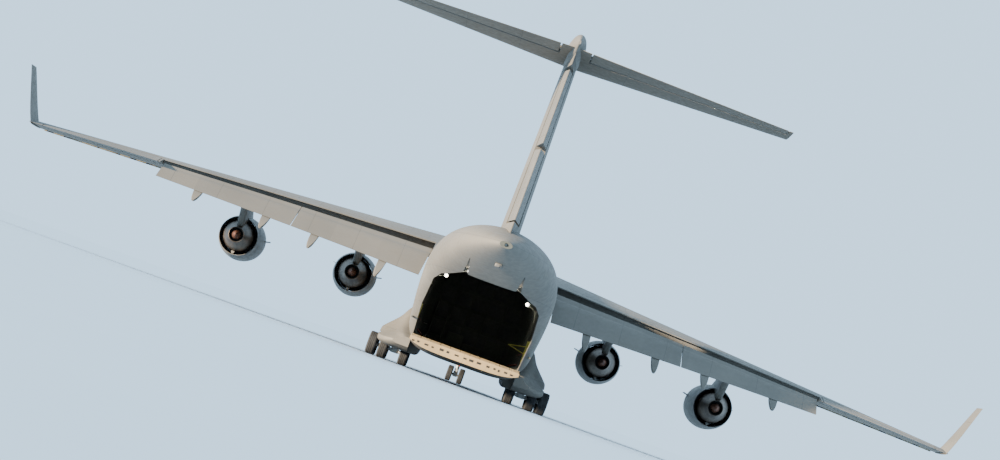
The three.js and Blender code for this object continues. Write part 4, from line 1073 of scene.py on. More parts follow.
# Outlines of turned skins: radius and distance behind the inlet
COWL_OUTER = [(1120, 130), (1165, 320), (1240, 800), (1280, 1900), (1230, 3300), (1085, 4600)]
COWL_INNER = [(1066, 4600), (1030, 3300), (1000, 1900), (990, 1100), (990, 500), (1000, 120)]
CORE_SKIN = [(320, 1514), (480, 1640), (620, 1900), (790, 2800), (850, 3600), (855, 4200), (830, 4700),
             (640, 5330), (430, 5900)]
PLUG_SKIN = [(250, 5600), (262, 5720), (215, 5950), (120, 6180), (45, 6310), (0.5, 6350)]
PYLON_HALF, NOZZLE = 200, 410
# Side, start, stop and outer radius
STRAKES = [(-1, 900, 2300, 1600), (1, 1300, 2100, 1480)]
STRAKE_TILT, STRAKE_ROOT = 12, 1150
BLADES = 18
FAN_ROOT, FAN_TIP, FAN_GRID = 250, 952, 9
VANES = 40


def make_fan(number, x, inlet, z):
    """Twisted wide blades behind a spinner."""
    body = f"engine_{number}_fan"
    verts, faces = [], []
    radii, chords = between(FAN_ROOT, FAN_TIP, FAN_GRID), between(0, 1, FAN_GRID)
    steps, last, sheet = range(FAN_GRID), FAN_GRID - 1, FAN_GRID**2
    edges = ([i * FAN_GRID for i in steps], [i * FAN_GRID + last for i in steps], list(steps),
             [last * FAN_GRID + k for k in steps])
    for blade in range(BLADES):
        base = 2 * math.pi * blade / BLADES
        for hand in (-1, 1):
            for r in radii:
                t = (r - FAN_ROOT) / (FAN_TIP - FAN_ROOT)
                twist = math.radians(lerp(28, 58, t))
                length = lerp(190, 255, t)
                for c in chords:
                    run = (c - 0.5) * length
                    thick = lerp(11, 4, t) * math.sin(math.pi * min(max(c, 0.02), 0.98))
                    bow = 16 * math.sin(math.pi * c) + hand * thick
                    along = 1382 + run * math.cos(twist)
                    aside = run * math.sin(twist) + bow
                    angle = base + aside / r
                    verts.append((x + r * math.cos(angle), inlet + along, z + r * math.sin(angle)))
        start = len(verts) - 2 * sheet
        for hand in range(2):
            for i in range(last):
                for k in range(last):
                    a = start + hand * sheet + i * FAN_GRID + k
                    quad = (a, a + 1, a + FAN_GRID + 1, a + FAN_GRID)
                    faces.append(quad if hand else quad[::-1])
        for row in edges:
            for a, b in zip(row, row[1:]):
                faces.append((start + a, start + b, start + sheet + b, start + sheet + a))
    blades = new_object(body + "_blades", spots(verts), faces)
    tidy_normals(blades)
    finished(blades, FAN, body, [body], smooth=40)
    nose = curved([(70, 918), (180, 1010), (275, 1150), (330, 1280)], 5)
    profile = [(0.5, 900), *nose, (330, 1500), (120, 1500), (0.5, 1500)]
    spinner = lathe(body + "_spinner", profile, (x, inlet, z), AFT, 64)
    finished(spinner, FAN, body)


def make_cowl(number, sign, x, inlet, z):
    origin = (x, inlet, z)
    label = f"engine_{number}_cowl"
    skin = curved([(1045, 0), (1092, 40), *COWL_OUTER], 6)[9:]
    inside = curved(COWL_INNER, 6)
    shell = lathe(label + "_skin", skin + inside[:-2] + [skin[0]], origin, AFT, 128, 30)
    finished(shell, COWL, "root", [label])
    add_slot(shell, DUCT, lambda centre, normal: (centre - spot(*origin)).xz.length < 1062 * UNIT)
    lip = curved([(1120, 130), (1092, 40), (1045, 0), (1010, 34), (1000, 120)], 6)
    lip = [skin[0]] + lip[3:-2] + [inside[-3]]
    ring = lathe(f"engine_{number}_lip", lip + [(1050, 190), lip[0]], origin, AFT, 128, 50)
    finished(ring, LIP, "root")
    fins = []
    for hand, start, stop, out in STRAKES:
        tilt = math.radians(STRAKE_TILT)
        corners = [(STRAKE_ROOT, start), (lerp(STRAKE_ROOT, out, 0.55), start + 230),
                   (out - 120, start + 350), (out - 30, start + 480), (out, stop - 60),
                   (out - 40, stop - 10), (STRAKE_ROOT, stop)]
        rings = []
        for thick in (-13, 13):
            ring = []
            for radius, run in corners:
                dx = hand * sign * (radius * math.cos(tilt) - thick * math.sin(tilt))
                ring.append((x + dx, inlet + run, z + radius * math.sin(tilt) + thick * math.cos(tilt)))
            rings.append(ring)
        fins.append(loft("strake", rings))
    finished(joined(f"engine_{number}_strakes", fins), COWL, "root")
    keel = [(835, 3300, 60), (875, 4000, 85), (885, 4560, 90)]
    rings = []
    for radius, run, half in keel:
        rings.append([(x + half * math.cos(t), inlet + run, z - radius - 160 * math.sin(t))
                      for t in between(0, math.pi, 13)])
    finished(loft(f"engine_{number}_keel", rings, smooth=40), COWL, "root")
    guides = [loft("vane", vane_rings(x, inlet, z, index)) for index in range(VANES)]
    finished(joined(f"engine_{number}_vanes", guides), FAN, "root")


def vane_rings(x, inlet, z, index):
    """The two faces of one outlet vane; it leans so far that no light shows between two of them."""
    lean = 1.25 * 2 * math.pi / VANES
    rings = []
    for hand in (-1, 1):
        ring = []
        for radius, along, share in ((620, 1690, 0), (990, 1650, 0), (990, 1830, 1), (640, 1870, 1)):
            turn = 2 * math.pi * index / VANES + share * lean + hand * 5 / radius
            ring.append((x + radius * math.cos(turn), inlet + along, z + radius * math.sin(turn)))
        rings.append(ring)
    return rings


def pylon_outline(sign, x, inlet, z):
    lead = wing_point(sign, x, 0, 0)
    chord = chord_at(x)
    back, rise = lead[1] - inlet, lead[2] - z
    seat = back + 0.36 * chord
    outline = [(1700, 1150), (2000, 1320), (back - 150, rise - 0.045 * chord),
               (back + 150, rise - 0.04 * chord), (back + 350, rise),
               (seat, rise - 0.03 * chord), (seat, rise - 0.1 * chord),
               (seat - 900, rise - 0.16 * chord), (6100, 900), (5400, 350), (3000, 300)]
    return [(inlet + run, z + height) for run, height in outline]


def make_engines():
    for number, sign, out, inlet, z in ENGINES:
        make_fan(number, sign * out, inlet, z)
        make_cowl(number, sign, sign * out, inlet, z)
        make_core(number, sign, sign * out, inlet, z)


def make_core(number, sign, x, inlet, z):
    out = abs(x)
    origin = (x, inlet, z)
    label = f"engine_{number}_core"
    skin = curved(CORE_SKIN, 5)
    tail = [(408, 5905), (392, 5880), (380, 5600), (375, 5300), (0.5, 5300)]
    shell = lathe(label + "_skin", [(0.5, 1514)] + skin + tail, origin, AFT, 96, 30)
    finished(shell, CORE, "root", [label])
    # The inside of the core's nozzle is near-black painted shade.
    add_slot(shell, SHADE, lambda centre, normal: (centre - spot(*origin)).xz.length < NOZZLE * UNIT
             and centre.y < spot(x, inlet + 5290, z).y)
    strut = [(3300, 790), (4300, 790), (4480, 1000), (4300, 1060), (3200, 1045)]
    drawn = [(inlet + run, z - drop) for run, drop in strut]
    below = side_prism(f"engine_{number}_lower_strut", drawn, x - 45, x + 45)
    finished(bevel(below, 20, 3, 35), CORE, "root")
    profile = [(0.5, 5320), (230, 5320), *curved(PLUG_SKIN, 5)]
    plug = lathe(f"engine_{number}_plug", profile, origin, AFT, 64, 40)
    finished(plug, PLUG, "root")
    boss = lengthwise(f"engine_{number}_bearing", x, z, inlet + 1501, inlet + 1516, 100)
    finished(boss, STEEL, "root")
    outline = pylon_outline(sign, out, inlet, z)
    pylon = side_prism(f"engine_{number}_pylon", outline, x - PYLON_HALF, x + PYLON_HALF)
    pylon = bevel(pylon, 130, 4, 35)
    finished(pylon, COWL, "root")


# Tail: fin sections by height, tailplane sections by distance out
FIN_ROOT, FIN_TOP = (7900, 37200, 8800), (15300, 44600, 5600)
FIN_RATIO = 0.11
# Name, bay, span and the end that has the pin
RUDDERS = [("rudder_lower", (8000, 11600), (8090, 11440), 0),
           ("rudder_upper", (11600, 15100), (11620, 14960), 1)]
RUDDER_HINGE = 0.71
RUDDER_TOP_SLOPE = 0.05
TAIL_Z, TAIL_FALL, TAIL_LEAD, TAIL_SWEEP = 15800, 0.066, 44880, 0.5953
TAIL_CHORDS, TAIL_HALF, TAIL_RATIO = (5660, 2260), 9905, 0.1
ELEVATOR_HINGE, ELEVATOR_BAY, ELEVATOR_SPAN = 0.71, (700, 9740), (760, 9690)
BULLET_FROM, BULLET_TO, BULLET_Z, BULLET_HIGH, BULLET_WIDE = 44000, 51000, 16000, 790, 440
BULLET_ROWS = [(0, 0.05), (0.05, 0.42), (0.15, 0.75), (0.3, 0.96), (0.45, 1), (0.7, 0.86), (0.9, 0.5),
               (1, 0.12)]


def fin_chord(z):
    return lerp(FIN_ROOT[2], FIN_TOP[2], (z - FIN_ROOT[0]) / (FIN_TOP[0] - FIN_ROOT[0]))


def fin_point(z, f, h):
    share = (z - FIN_ROOT[0]) / (FIN_TOP[0] - FIN_ROOT[0])
    return (h * fin_chord(z), lerp(FIN_ROOT[1], FIN_TOP[1], share) + f * fin_chord(z), z)


def tail_point(sign, x, f, h):
    chord = lerp(*TAIL_CHORDS, x / TAIL_HALF)
    return (sign * x, TAIL_LEAD + TAIL_SWEEP * x + f * chord, TAIL_Z - TAIL_FALL * x + h * chord)


def surface_outline(hinge, ratio):
    """A round nose about the hinge line and flat sides to the trailing edge."""
    radius = 0.97 * half_thick(hinge, ratio)
    nose = [(hinge + radius * math.cos(math.radians(t)), radius * math.sin(math.radians(t)))
            for t in between(110, 250, 15)]
    return [(1, TRAILING_HALF), (hinge, radius), *nose, (hinge, -radius), (1, -TRAILING_HALF)]


def surface_bay(hinge, ratio):
    wall = hinge - half_thick(hinge, ratio) - 0.008
    return [(wall, -0.2), (wall, 0.2), (1.1, 0.2), (1.1, -0.2)]


def make_fin():
    outline = even_outline(FIN_RATIO)
    skin = loft("fin_skin", [[fin_point(z, f, h) for f, h in outline] for z in between(6900, 15600, 12)])
    cutters = [hull_solid("fin_cut", 30000, 48500, 30, 64)]
    for _, bay, _, _ in RUDDERS:
        rings = [[fin_point(z, f, h) for f, h in surface_bay(RUDDER_HINGE, FIN_RATIO)] for z in bay]
        cutters.append(loft("bay_cut", rings))
    carve(skin, cutters, smooth=28)
    finished(skin, TAIL, "root", ["fin"])
    for name, _, (low, high), pin in RUDDERS:
        rings = []
        for z in between(low, high, 6):
            slope = RUDDER_TOP_SLOPE * (z - low) / (high - low)
            ring = []
            for f, h in surface_outline(RUDDER_HINGE, FIN_RATIO):
                ring.append(fin_point(z - slope * fin_chord(z) * max(0, f - RUDDER_HINGE), f, h))
            rings.append(ring)
        finished(loft(name + "_skin", rings, smooth=28), TAIL, name, [name])
        end_pins(name + "_pin", [fin_point(z, RUDDER_HINGE, 0) for z in (low, high)], name, (pin,))


def tail_loft(name, sign, xs, outline):
    return loft(name, [[tail_point(sign, x, f, h) for f, h in outline] for x in xs])


def make_tailplane():
    rings = []
    for share in between(0, 1, 45):
        _, size = smooth_row(BULLET_ROWS, share)
        station = lerp(BULLET_FROM, BULLET_TO, share)
        rings.append([(size * BULLET_WIDE * math.cos(t), station, BULLET_Z + size * BULLET_HIGH * math.sin(t))
                      for t in [2 * math.pi * i / 64 for i in range(64)]])
    bullet = loft("tail_bullet", rings, smooth=40)
    finished(bullet, TAIL, "root", ["tailplane"])
    for side, sign in SIDES:
        plane = tail_loft("tailplane_skin_" + side, sign, between(0, TAIL_HALF, 10), even_outline(TAIL_RATIO))
        bay = tail_loft("bay_cut", sign, ELEVATOR_BAY, surface_bay(ELEVATOR_HINGE, TAIL_RATIO))
        carve(plane, [bay], smooth=28)
        finished(plane, TAIL, "root")
        # The tailplane half's downward faces get painted underside shade.
        add_slot(plane, UNDERSIDE_GRIME_AND_SHADE, faces_down)
        label = "elevator_" + side
        outline = surface_outline(ELEVATOR_HINGE, TAIL_RATIO)
        elevator = tail_loft(label + "_skin", sign, between(*ELEVATOR_SPAN, 6), outline)
        finished(elevator, TAIL, label, [label], smooth=28)
        # The elevator's downward faces get painted underside shade.
        add_slot(elevator, UNDERSIDE_GRIME_AND_SHADE, faces_down)
        end_pins(label + "_pins", [tail_point(sign, x, ELEVATOR_HINGE, 0) for x in ELEVATOR_SPAN], label)


def make_wicks():
    """Static wicks along the trailing edges, each riding on its surface."""
    wicks = {}
    for side, sign in SIDES:
        rows = [("aileron_" + side, between(19200, 24300, 6), wing_point),
                ("elevator_" + side, between(2500, 9600, 6), tail_point)]
        for body, xs, place in rows:
            for x in xs:
                base = place(sign, x, 0.995, 0.0)
                end = (base[0], base[1] + 190, base[2] - 14)
                wicks.setdefault(body, []).append(rod("wick", base, end, 7, 8, 3))
    for body, rods in wicks.items():
        finished(joined(body + "_wicks", rods), DECK, body)


# Landing gear
TYRE_SIDES = 16
MAIN_RADIUS, MAIN_WIDTH, MAIN_WHEELS, MAIN_LEG = 635, 530, (3020, 4220, 4860), 3620
MAIN_STATIONS = (("front", 25150), ("rear", 27650))
WELL_TOP = 1360
NOSE_RADIUS, NOSE_WIDTH, NOSE_WHEELS, NOSE_STATION, NOSE_SPLIT = 508, 380, (-380, 380), 6340, 1060
# Gear pod: station, share of the reach, top and bottom
POD = [(18300, 0.1, 2100, 1350), (19000, 0.62, 2800, 1000), (20200, 0.93, 3200, 800), (22500, 1, 3300, 750),
       (26500, 1, 3150, 750), (28600, 1, 2050, 750), (29800, 0.82, 1700, 820), (30450, 0.45, 1500, 1020)]
POD_INNER, POD_HULL, POD_REACH, POD_EDGE = 2400, 3100, 1590, 280
POD_SECTION = [(-0.1, 1), (0.25, 1), (0.53, 0.72), (0.94, 0.43), (1, 0.35), (0.96, 0.14), (0.69, 0.02),
               (0.3, 0)]
# Near, far, start, stop and top; near-black primer, painted shade, lines the well up to a distance out
WELL, WELL_LINED = (2700, 5300, 24350, 28450, WELL_TOP), 4660
GROOVES = (-0.27, -0.09, 0.09, 0.27)


def axle_height(radius):
    return radius * math.cos(math.pi / TYRE_SIDES)


def tyre_profile(radius, width):
    """Half sections of a tyre with round shoulders and grooves, as (radius, across) pairs."""
    reach = axle_height(radius) / 0.997
    side = [(0.56, -0.40), (0.60, -0.455), (0.74, -0.475), (0.88, -0.455), (0.955, -0.40), (0.985, -0.33)]
    tread = []
    for groove in GROOVES:
        tread += [(0.997, groove - 0.03), (0.97, groove - 0.02), (0.97, groove + 0.02),
                  (0.997, groove + 0.03)]
    rows = side + tread + [(r, -w) for r, w in reversed(side)]
    return [(r * reach, w * width) for r, w in rows]


def make_wheel(name, x, station, radius, width):
    z = axle_height(radius)
    origin, axis = (x, station, z), (1, 0, 0)
    tyre = tyre_profile(radius, width)
    closed = tyre + [(0.54 * radius, 0.36 * width), (0.54 * radius, -0.36 * width), tyre[0]]
    rubber = lathe(name + "_tyre", closed, origin, axis, 72, 40)
    rim = [(0.55, -0.40), (0.53, -0.41), (0.50, -0.33), (0.47, -0.22), (0.30, -0.20), (0.24, -0.28),
           (0.20, -0.30), (0.002, -0.30)]
    rows = [(r * radius, w * width) for r, w in rim]
    hub = lathe(name + "_hub", rows[::-1] + [(r, -w) for r, w in rows], origin, axis, 48, 30)
    bolts = []
    for i in range(10):
        turn = 2 * math.pi * i / 10
        dy, dz = 0.39 * radius * math.cos(turn), 0.39 * radius * math.sin(turn)
        for hand in (-1, 1):
            bolts.append(rod("bolt", (x + hand * 0.2 * width, station + dy, z + dz),
                             (x + hand * 0.25 * width, station + dy, z + dz), 0.026 * radius, 8))
    return rubber, [hub] + bolts


def make_wheels(body, xs, station, radius, width, axle, axle_ends):
    rubbers, metals = [], []
    for i, x in enumerate(xs):
        rubber, parts = make_wheel(f"{body}_{i}", x, station, radius, width)
        rubbers.append(rubber)
        metals += parts
    z = axle_height(radius)
    metals.append(rod("axle", (axle_ends[0], station, z), (axle_ends[1], station, z), axle, 32))
    finished(joined(body + "_tyres", rubbers), TYRE, body, [body], smooth=40)
    finished(joined(body + "_hubs", metals), HUB, body, smooth=35)


def lug_block(name, x, station, radius, lug, half):
    z = axle_height(radius)
    block = box(name, x - half, x + half, station - lug, station + lug, z - lug, z + 1.6 * lug)
    return bevel(block, 34, 3)


def slanted(station, z, a, b, half):
    """The outline of a slanting link from a to b, both measured from one point."""
    return [(station + a[0], z + a[1] - half), (station + b[0], z + b[1] - half),
            (station + b[0], z + b[1] + half), (station + a[0], z + a[1] + half)]


def make_main_gear():
    top = WELL_TOP - 1
    for side, sign in SIDES:
        for place, station in MAIN_STATIONS:
            label = f"{side}_{place}"
            x, z = sign * MAIN_LEG, axle_height(MAIN_RADIUS)
            drop = across("bore", x, 400, station, z, 101.2, 48)
            block = carve(lug_block("axle_lug", x, station, MAIN_RADIUS, 130, 188), [drop], smooth=30)
            parts = [block, upright("cylinder", x, station, z + 620, top, 138),
                     upright("collar", x, station, z + 560, z + 640, 150),
                     upright("foot", x, station, z + 150, z + 300, 120, 40, 96)]
            for a, b in (((-150, 250), (-330, 420)), ((-330, 420), (-150, 600))):
                parts.append(side_prism("link", slanted(station, z, a, b, 34), x - 60, x + 60))
            parts.append(across("link_pin", x, 80, station - 330, z + 420, 30))
            brace = [(station - 80, 710), (station + 80, 710), (station + 610, top), (station + 390, top)]
            parts.append(side_prism("brace", brace, x - 62, x + 62))
            hoses = [upright("line", x + 150 * hand, station + 60, z + 200, top, 12, 10) for hand in (-1, 1)]
            leg = joined("main_leg_" + label + "_parts", parts)
            finished(leg, STEEL, "root", ["main_leg_" + label], smooth=30)
            chrome = upright("main_leg_" + label + "_piston", x, station, z + 160, z + 600, 92)
            finished(chrome, CHROME, "root")
            finished(joined("main_leg_" + label + "_lines", hoses), DECK, "root")
            xs = [sign * w for w in MAIN_WHEELS]
            make_wheels("main_wheels_" + label, xs, station, MAIN_RADIUS, MAIN_WIDTH, 100, (xs[0], xs[2]))


def make_nose_gear():
    top = NOSE_BAY[3] - 1
    station = NOSE_STATION
    z = axle_height(NOSE_RADIUS)
    outer = upright("cylinder", 0, station, NOSE_SPLIT, top, 148)
    collars = [upright("collar", 0, station, h, h + 60, 165) for h in (1100, 1400)]
    strut = [(station - 60, 1150), (station + 60, 1150), (station - 750, top), (station - 950, top)]
    parts = [outer, *collars, side_prism("drag_strut", strut, -58, 58)]
    for hand in (-1, 1):
        parts.append(rod("side_stay", (hand * 120, station, 1430), (hand * 560, station + 60, top), 34, 16))
    finished(joined("nose_leg_parts", parts), STEEL, "root", ["nose_leg"], smooth=30)
    lamps = []
    for hand in (-1, 1):
        shell = lengthwise("nose_lamp", hand * 250, 1330, station - 230, station - 110, 95, 32, 60)
        arm = rod("lamp_arm", (hand * 120, station - 30, 1330), (hand * 250, station - 130, 1330), 22, 12)
        lamps += [shell, arm]
        name = f"nose_lamp_glass_{hand + 1}"
        glass = lengthwise(name, hand * 250, 1330, station - 236, station - 229, 84, 32)
        finished(glass, WINDOW, "root")
    finished(joined("nose_lamps", lamps), STEEL, "root")
    drop = across("bore", 0, 400, station, z, 71.2, 48)
    block = carve(lug_block("fork_block", 0, station, NOSE_RADIUS, 130, 148), [drop], smooth=30)
    parts = [block, upright("stem", 0, station, 700, NOSE_SPLIT - 1, 118)]
    for a, b in (((140, 640), (330, 790)), ((330, 790), (130, 940))):
        parts.append(side_prism("link", slanted(station, 0, a, b, 30), -50, 50))
    parts.append(across("link_pin", 0, 66, station + 330, 790, 26))
    fork = joined("nose_fork_parts", parts)
    finished(fork, STEEL, "nose_fork", ["nose_fork"], smooth=30)
    make_wheels("nose_wheels", NOSE_WHEELS, station, NOSE_RADIUS, NOSE_WIDTH, 70, (-380, 380))


def pod_ring(sign, station):
    _, reach, top, bottom = smooth_row(POD, station)
    shape = curved(POD_SECTION, 6)
    ring = [(POD_INNER, bottom + POD_EDGE), (POD_INNER, top)]
    ring += [(POD_HULL + out * reach * POD_REACH, lerp(bottom, top, up)) for out, up in shape]
    for turn in between(0, math.pi / 2, 7)[:-1]:
        ring.append((POD_INNER + POD_EDGE * (1 - math.sin(turn)), bottom + POD_EDGE * (1 - math.cos(turn))))
    return [(sign * x, station, z) for x, z in ring]


def make_pods():
    for side, sign in SIDES:
        skin = loft("pod_skin_" + side, [pod_ring(sign, s) for s in between(POD[0][0], POD[-1][0], 50)])
        x0, x1, start, stop, top = WELL
        well = side_box("well_cut", sign, x0, x1, start, stop, 0, top)
        ramp_room = side_box("ramp_cut", sign, 0, RAMP_HALF + 2 * CLEAR, RAMP_STATION - 400, 40000, 0, 9000)
        carve(skin, [hull_solid("pod_cut", 17000, 32000, 60, 96), well, ramp_room], smooth=30)
        finished(skin, HULL, "root", ["gear_pod_" + side])
        # The wheel well is lined with near-black primer, painted shade of the well.
        add_slot(skin, SHADED_PRIMER, in_well)
        make_pod_details(side, sign)


def in_well(centre, normal):
    x, station, z = abs(centre.x) / UNIT, LENGTH / 2 - centre.y / UNIT, centre.z / UNIT
    x0, _, start, stop, top = WELL
    return x0 - 2 < x <= WELL_LINED and start - 2 < station < stop + 2 and z < top + 2


def make_pod_details(side, sign):
    """Ribs and pipes in the wheel well."""
    x0, x1, start, stop, top = WELL
    ribs = []
    for s in between(start + 300, stop - 300, 9):
        ribs.append(side_box("rib", sign, x0 + 60, x1 - 700, s - 22, s + 22, top - 90, top - 1))
    for x in (2950, 3300, 4000, 4400):
        ribs.append(lengthwise("pipe", sign * x, top - 120, start + 5, stop - 5, 26, 12))
    # The well's ribs and pipes are near-black primer, painted shade.
    finished(joined("well_ribs_" + side, ribs), SHADED_PRIMER, "root")


# Hold: frames, stringers, floor, lamps, and the ramp and cargo door that close it
FRAME_STEP, FRAME_DEPTH, FRAME_HALF = 620, 110, 28
LAMP_ARM = 420
SENSOR_STATION = 45900
BAR_STATION, BAR_REACH = 29100, 950
TRAYS = (-2250, -1650, -1050, -350, 350, 1050, 1650, 2250)
TRAY_HALF, TRAY_HIGH = 70, 26
RAMP_LUGS = (-1900, -700, 700, 1900)
# Side, station and height
LAMPS = [(-1, 38700, 5500), (1, 38700, 5500), (-1, 31500, 5600), (1, 31500, 5600),
         (-1, 22000, 5600), (1, 22000, 5600)]


def lamp_wall(station):
    """Heights and half-widths of the hold's wall, to seat a lamp on it."""
    side = sorted((z, x) for x, z in hull_arc(station, WALL + 110, 4000) if x > 0 and z < 7000)
    return [z for z, _ in side], [x for _, x in side]


def hull_arc(station, inset, low):
    """The part of a hull ring above a height, from the right side over the top to the left."""
    ring = np.array([(x, z) for x, _, z in hull_ring(station, inset, 360)])
    ring = ring[ring[:, 1] > low]
    turns = np.arctan2(ring[:, 1] - low + 1, ring[:, 0])
    order = np.argsort(turns)
    ring = ring[order]
    lengths = np.concatenate([[0], np.cumsum(np.linalg.norm(np.diff(ring, axis=0), axis=1))])
    marks = np.linspace(0, lengths[-1], 72)
    return [(np.interp(m, lengths, ring[:, 0]), np.interp(m, lengths, ring[:, 1])) for m in marks]


def frame_ring(station, low):
    """One frame of the hold: a band that stands in from the skin."""
    outer = hull_arc(station, WALL - 6, low)
    inner = hull_arc(station, WALL + FRAME_DEPTH, low)
    fore, aft = station - FRAME_HALF, station + FRAME_HALF
    rings = [[(ox, fore, oz), (ix, fore, iz), (ix, aft, iz), (ox, aft, oz)]
             for (ox, oz), (ix, iz) in zip(outer, inner)]
    return loft("frame", rings)


def make_frames():
    frames = []
    for station in np.arange(8400, 29300, FRAME_STEP):
        if not any(abs(station - edge) < 130 for edge in (17500, 29200)):
            frames.append(frame_ring(station, FLOOR_TOP + 5))
    for station in np.arange(29500, 44500, FRAME_STEP):
        low = 2250 + (station - 29500) * 0.27 if station < 40000 else 6050
        low = max(low, smooth_row(HULL_ROWS, station)[1] + WALL + 150) if station <= 41500 else 6080
        frames.append(frame_ring(station, low))
    # The frames are near-black primer, painted shade of the hold.
    finished(joined("hold_frames", frames), SHADED_PRIMER, "root")
    rails = []
    for x, z in ((3195, 2600), (3215, 3300), (3225, 4100), (3190, 5000), (3020, 5800), (2500, 6750),
                 (1500, 7450)):
        for sign in (-1, 1):
            rails.append(box("stringer", sign * x - 35, sign * x + 35, 8200, 33500, z - 40, z + 40))
    # The stringers are near-black primer, painted shade.
    finished(joined("hold_stringers", rails), SHADED_PRIMER, "root")


def make_floor():
    slab = loft("floor_slab", [hull_ring(s, WALL + 4, 96) for s in hull_stations(8150, 29440)])
    carve(slab, [box("floor_trim", -4000, 4000, 8000, 29450, 0, FLOOR_TOP)], "INTERSECT")
    carve(slab, [ramp_bar("barrel", 4000, RAMP_THICK + CLEAR)], smooth=20)
    finished(slab, DECK, "root", ["cargo_floor"])
    lines = []
    for x in TRAYS:
        lines.append(box("roller_tray", x - TRAY_HALF, x + TRAY_HALF, 8600, 29150,
                         FLOOR_TOP - 1, FLOOR_TOP + TRAY_HIGH))
    finished(joined("roller_trays", lines), STEEL, "root")


def make_seats():
    seats = []
    for sign in (-1, 1):
        for start in np.arange(9600, 27600, 640):
            seats.append(side_box("seat", sign, 2760, 3130, start, start + 560, 2080, 2140))
            seats.append(side_box("seat_back", sign, 3080, 3140, start, start + 560, 2160, 2900))
    finished(joined("side_seats", seats), SEAT, "root")


def make_hand_rails():
    yellow = []
    for sign, start, stop in ((1, 27600, 29150), (1, 29600, 31400), (-1, 27900, 29150)):
        for z in (3050, 3450):
            yellow.append(lengthwise("hand_rail", sign * 3000, z, start, stop, 26, 12))
        for s in between(start + 60, stop - 60, 4):
            yellow.append(upright("hand_post", sign * 3000, s, 2700, 3470, 20, 12))
    finished(joined("hand_rails", yellow), RAIL, "root")


def make_lamps():
    for index, (sign, station, z) in enumerate(LAMPS):
        wall_x = sign * (np.interp(z, *lamp_wall(station)) - 60)
        x = wall_x - sign * LAMP_ARM
        arm = [rod("lamp_arm", (wall_x, station, z + rise), (x, station, z), 28, 12) for rise in (-160, 160)]
        # The lamp arms are near-black primer, painted shade.
        finished(joined(f"hold_lamp_arm_{index}", arm), SHADED_PRIMER, "root")
        bowl = [(105, 0), (100, 30), (70, 75), (35, 92), (0.5, 96)]
        lamp = lathe(f"hold_lamp_{index}", bowl, (x, station, z), (-0.4 * sign, -1, -0.1), 24, 60)
        finished(lamp, WHITE_LAMP, "root")
        glow = bpy.data.lights.new(f"hold_glow_{index}", "POINT")
        glow.energy = 25
        glow.color = (1.0, 0.9, 0.72)
        glow.shadow_soft_size = 0.06
        bulb = bpy.data.objects.new(f"hold_glow_{index}", glow)
        bulb.location = spot(x - sign * 200, station + 260, z)
        bpy.context.scene.collection.objects.link(bulb)


def make_hold():
    make_frames()
    make_floor()
    make_seats()
    make_hand_rails()
    make_lamps()
    make_front_wall()
    make_safety_bars()
    wall = loft("hold_wall", [hull_ring(s, WALL + 2, 96) for s in (7885, 7998)], smooth=20)
    # The hold's front wall is near-black primer, painted shade.
    finished(wall, SHADED_PRIMER, "root")
    make_deck()


def make_front_wall():
    """Quilted panels, a stair to the flight deck and stowage boxes at the front of the hold."""
    quilts = []
    for x in (-2150, -1080, 0, 1080, 2150):
        for z, tall in ((2950, 900), (4050, 900), (5150, 900), (6150, 700)):
            if abs(x) < 1700 or z < 6000:
                quilt = box("quilt", x - 480, x + 480, 8002, 8050, z - tall / 2, z + tall / 2)
                quilts.append(bevel(quilt, 40))
    finished(joined("hold_quilts", quilts), DECK, "root")
    steps = []
    for i in range(9):
        z = FLOOR_TOP + 260 + i * 260
        steps.append(box("step", -2500, -1700, 8350 - i * 25, 8600 - i * 25, z - 20, z + 20))
    for x in (-2520, -1680):
        steps.append(rod("stair_side", (x, 8620, FLOOR_TOP + 5), (x, 8330, 4500), 38, 12))
        steps.append(rod("stair_rail", (x, 8900, 2600), (x, 8560, 5300), 22, 12))
    # The stair is near-black primer, painted shade.
    finished(joined("hold_stair", steps), SHADED_PRIMER, "root")
    boxes = [bevel(box("stowage", a, b, 8100, 8800, FLOOR_TOP + 4, top), 30)
             for a, b, top in ((-1300, -300, 2900), (-150, 900, 2500), (1100, 2300, 3200))]
    # The stowage boxes are near-black primer, painted shade.
    finished(joined("hold_stowage", boxes), SHADED_PRIMER, "root")


def make_safety_bars():
    """Yellow bars, standing folded out from the right wall by the ramp."""
    post, tip = 2960, 2960 - BAR_REACH
    bars = [upright("bar_post", post, BAR_STATION, 2300, 3500, 34, 12)]
    for z in (2780, 3180):
        bars.append(rod("bar", (post, BAR_STATION, z), (tip, BAR_STATION + 420, 2980), 26, 12))
    bars.append(rod("bar_foot", (post, BAR_STATION, 2330), (3120, BAR_STATION - 60, 2330), 26, 12))
    finished(joined("safety_bars", bars), RAIL, "root")


def make_deck():
    """Flight deck: floor, panel and seats, seen through the windscreen."""
    parts = [loft("deck_floor", [hull_ring(s, WALL + 4, 96) for s in hull_stations(2900, 7890)])]
    carve(parts[0], [box("deck_trim", -4000, 4000, 2800, 7900, 4250, 4350)], "INTERSECT")
    outline = [(2950, 4300), (3150, 4300), (3150, 4700), (3010, 5030), (2950, 5030)]
    panel = side_prism("panel", outline, -1500, 1500)
    carve(panel, [hull_solid("panel_trim", 2500, 5000, WALL + 10, 96)], "INTERSECT")
    parts.append(panel)
    for sign in (-1, 1):
        parts.append(bevel(side_box("seat_pad", sign, 500, 1050, 4000, 4550, 4560, 4800), 60))
        parts.append(bevel(side_box("seat_back", sign, 500, 1050, 4550, 4700, 4500, 5500), 60))
        parts.append(box("seat_leg", sign * 775 - 120, sign * 775 + 120, 4150, 4400, 4340, 4580))
    finished(joined("flight_deck_parts", parts), DECK, "root", ["flight_deck"])


def lowered(obj):
    return turned(obj, spot(0, RAMP_STATION, RAMP_Z), (1, 0, 0), RAMP_LOWERED)


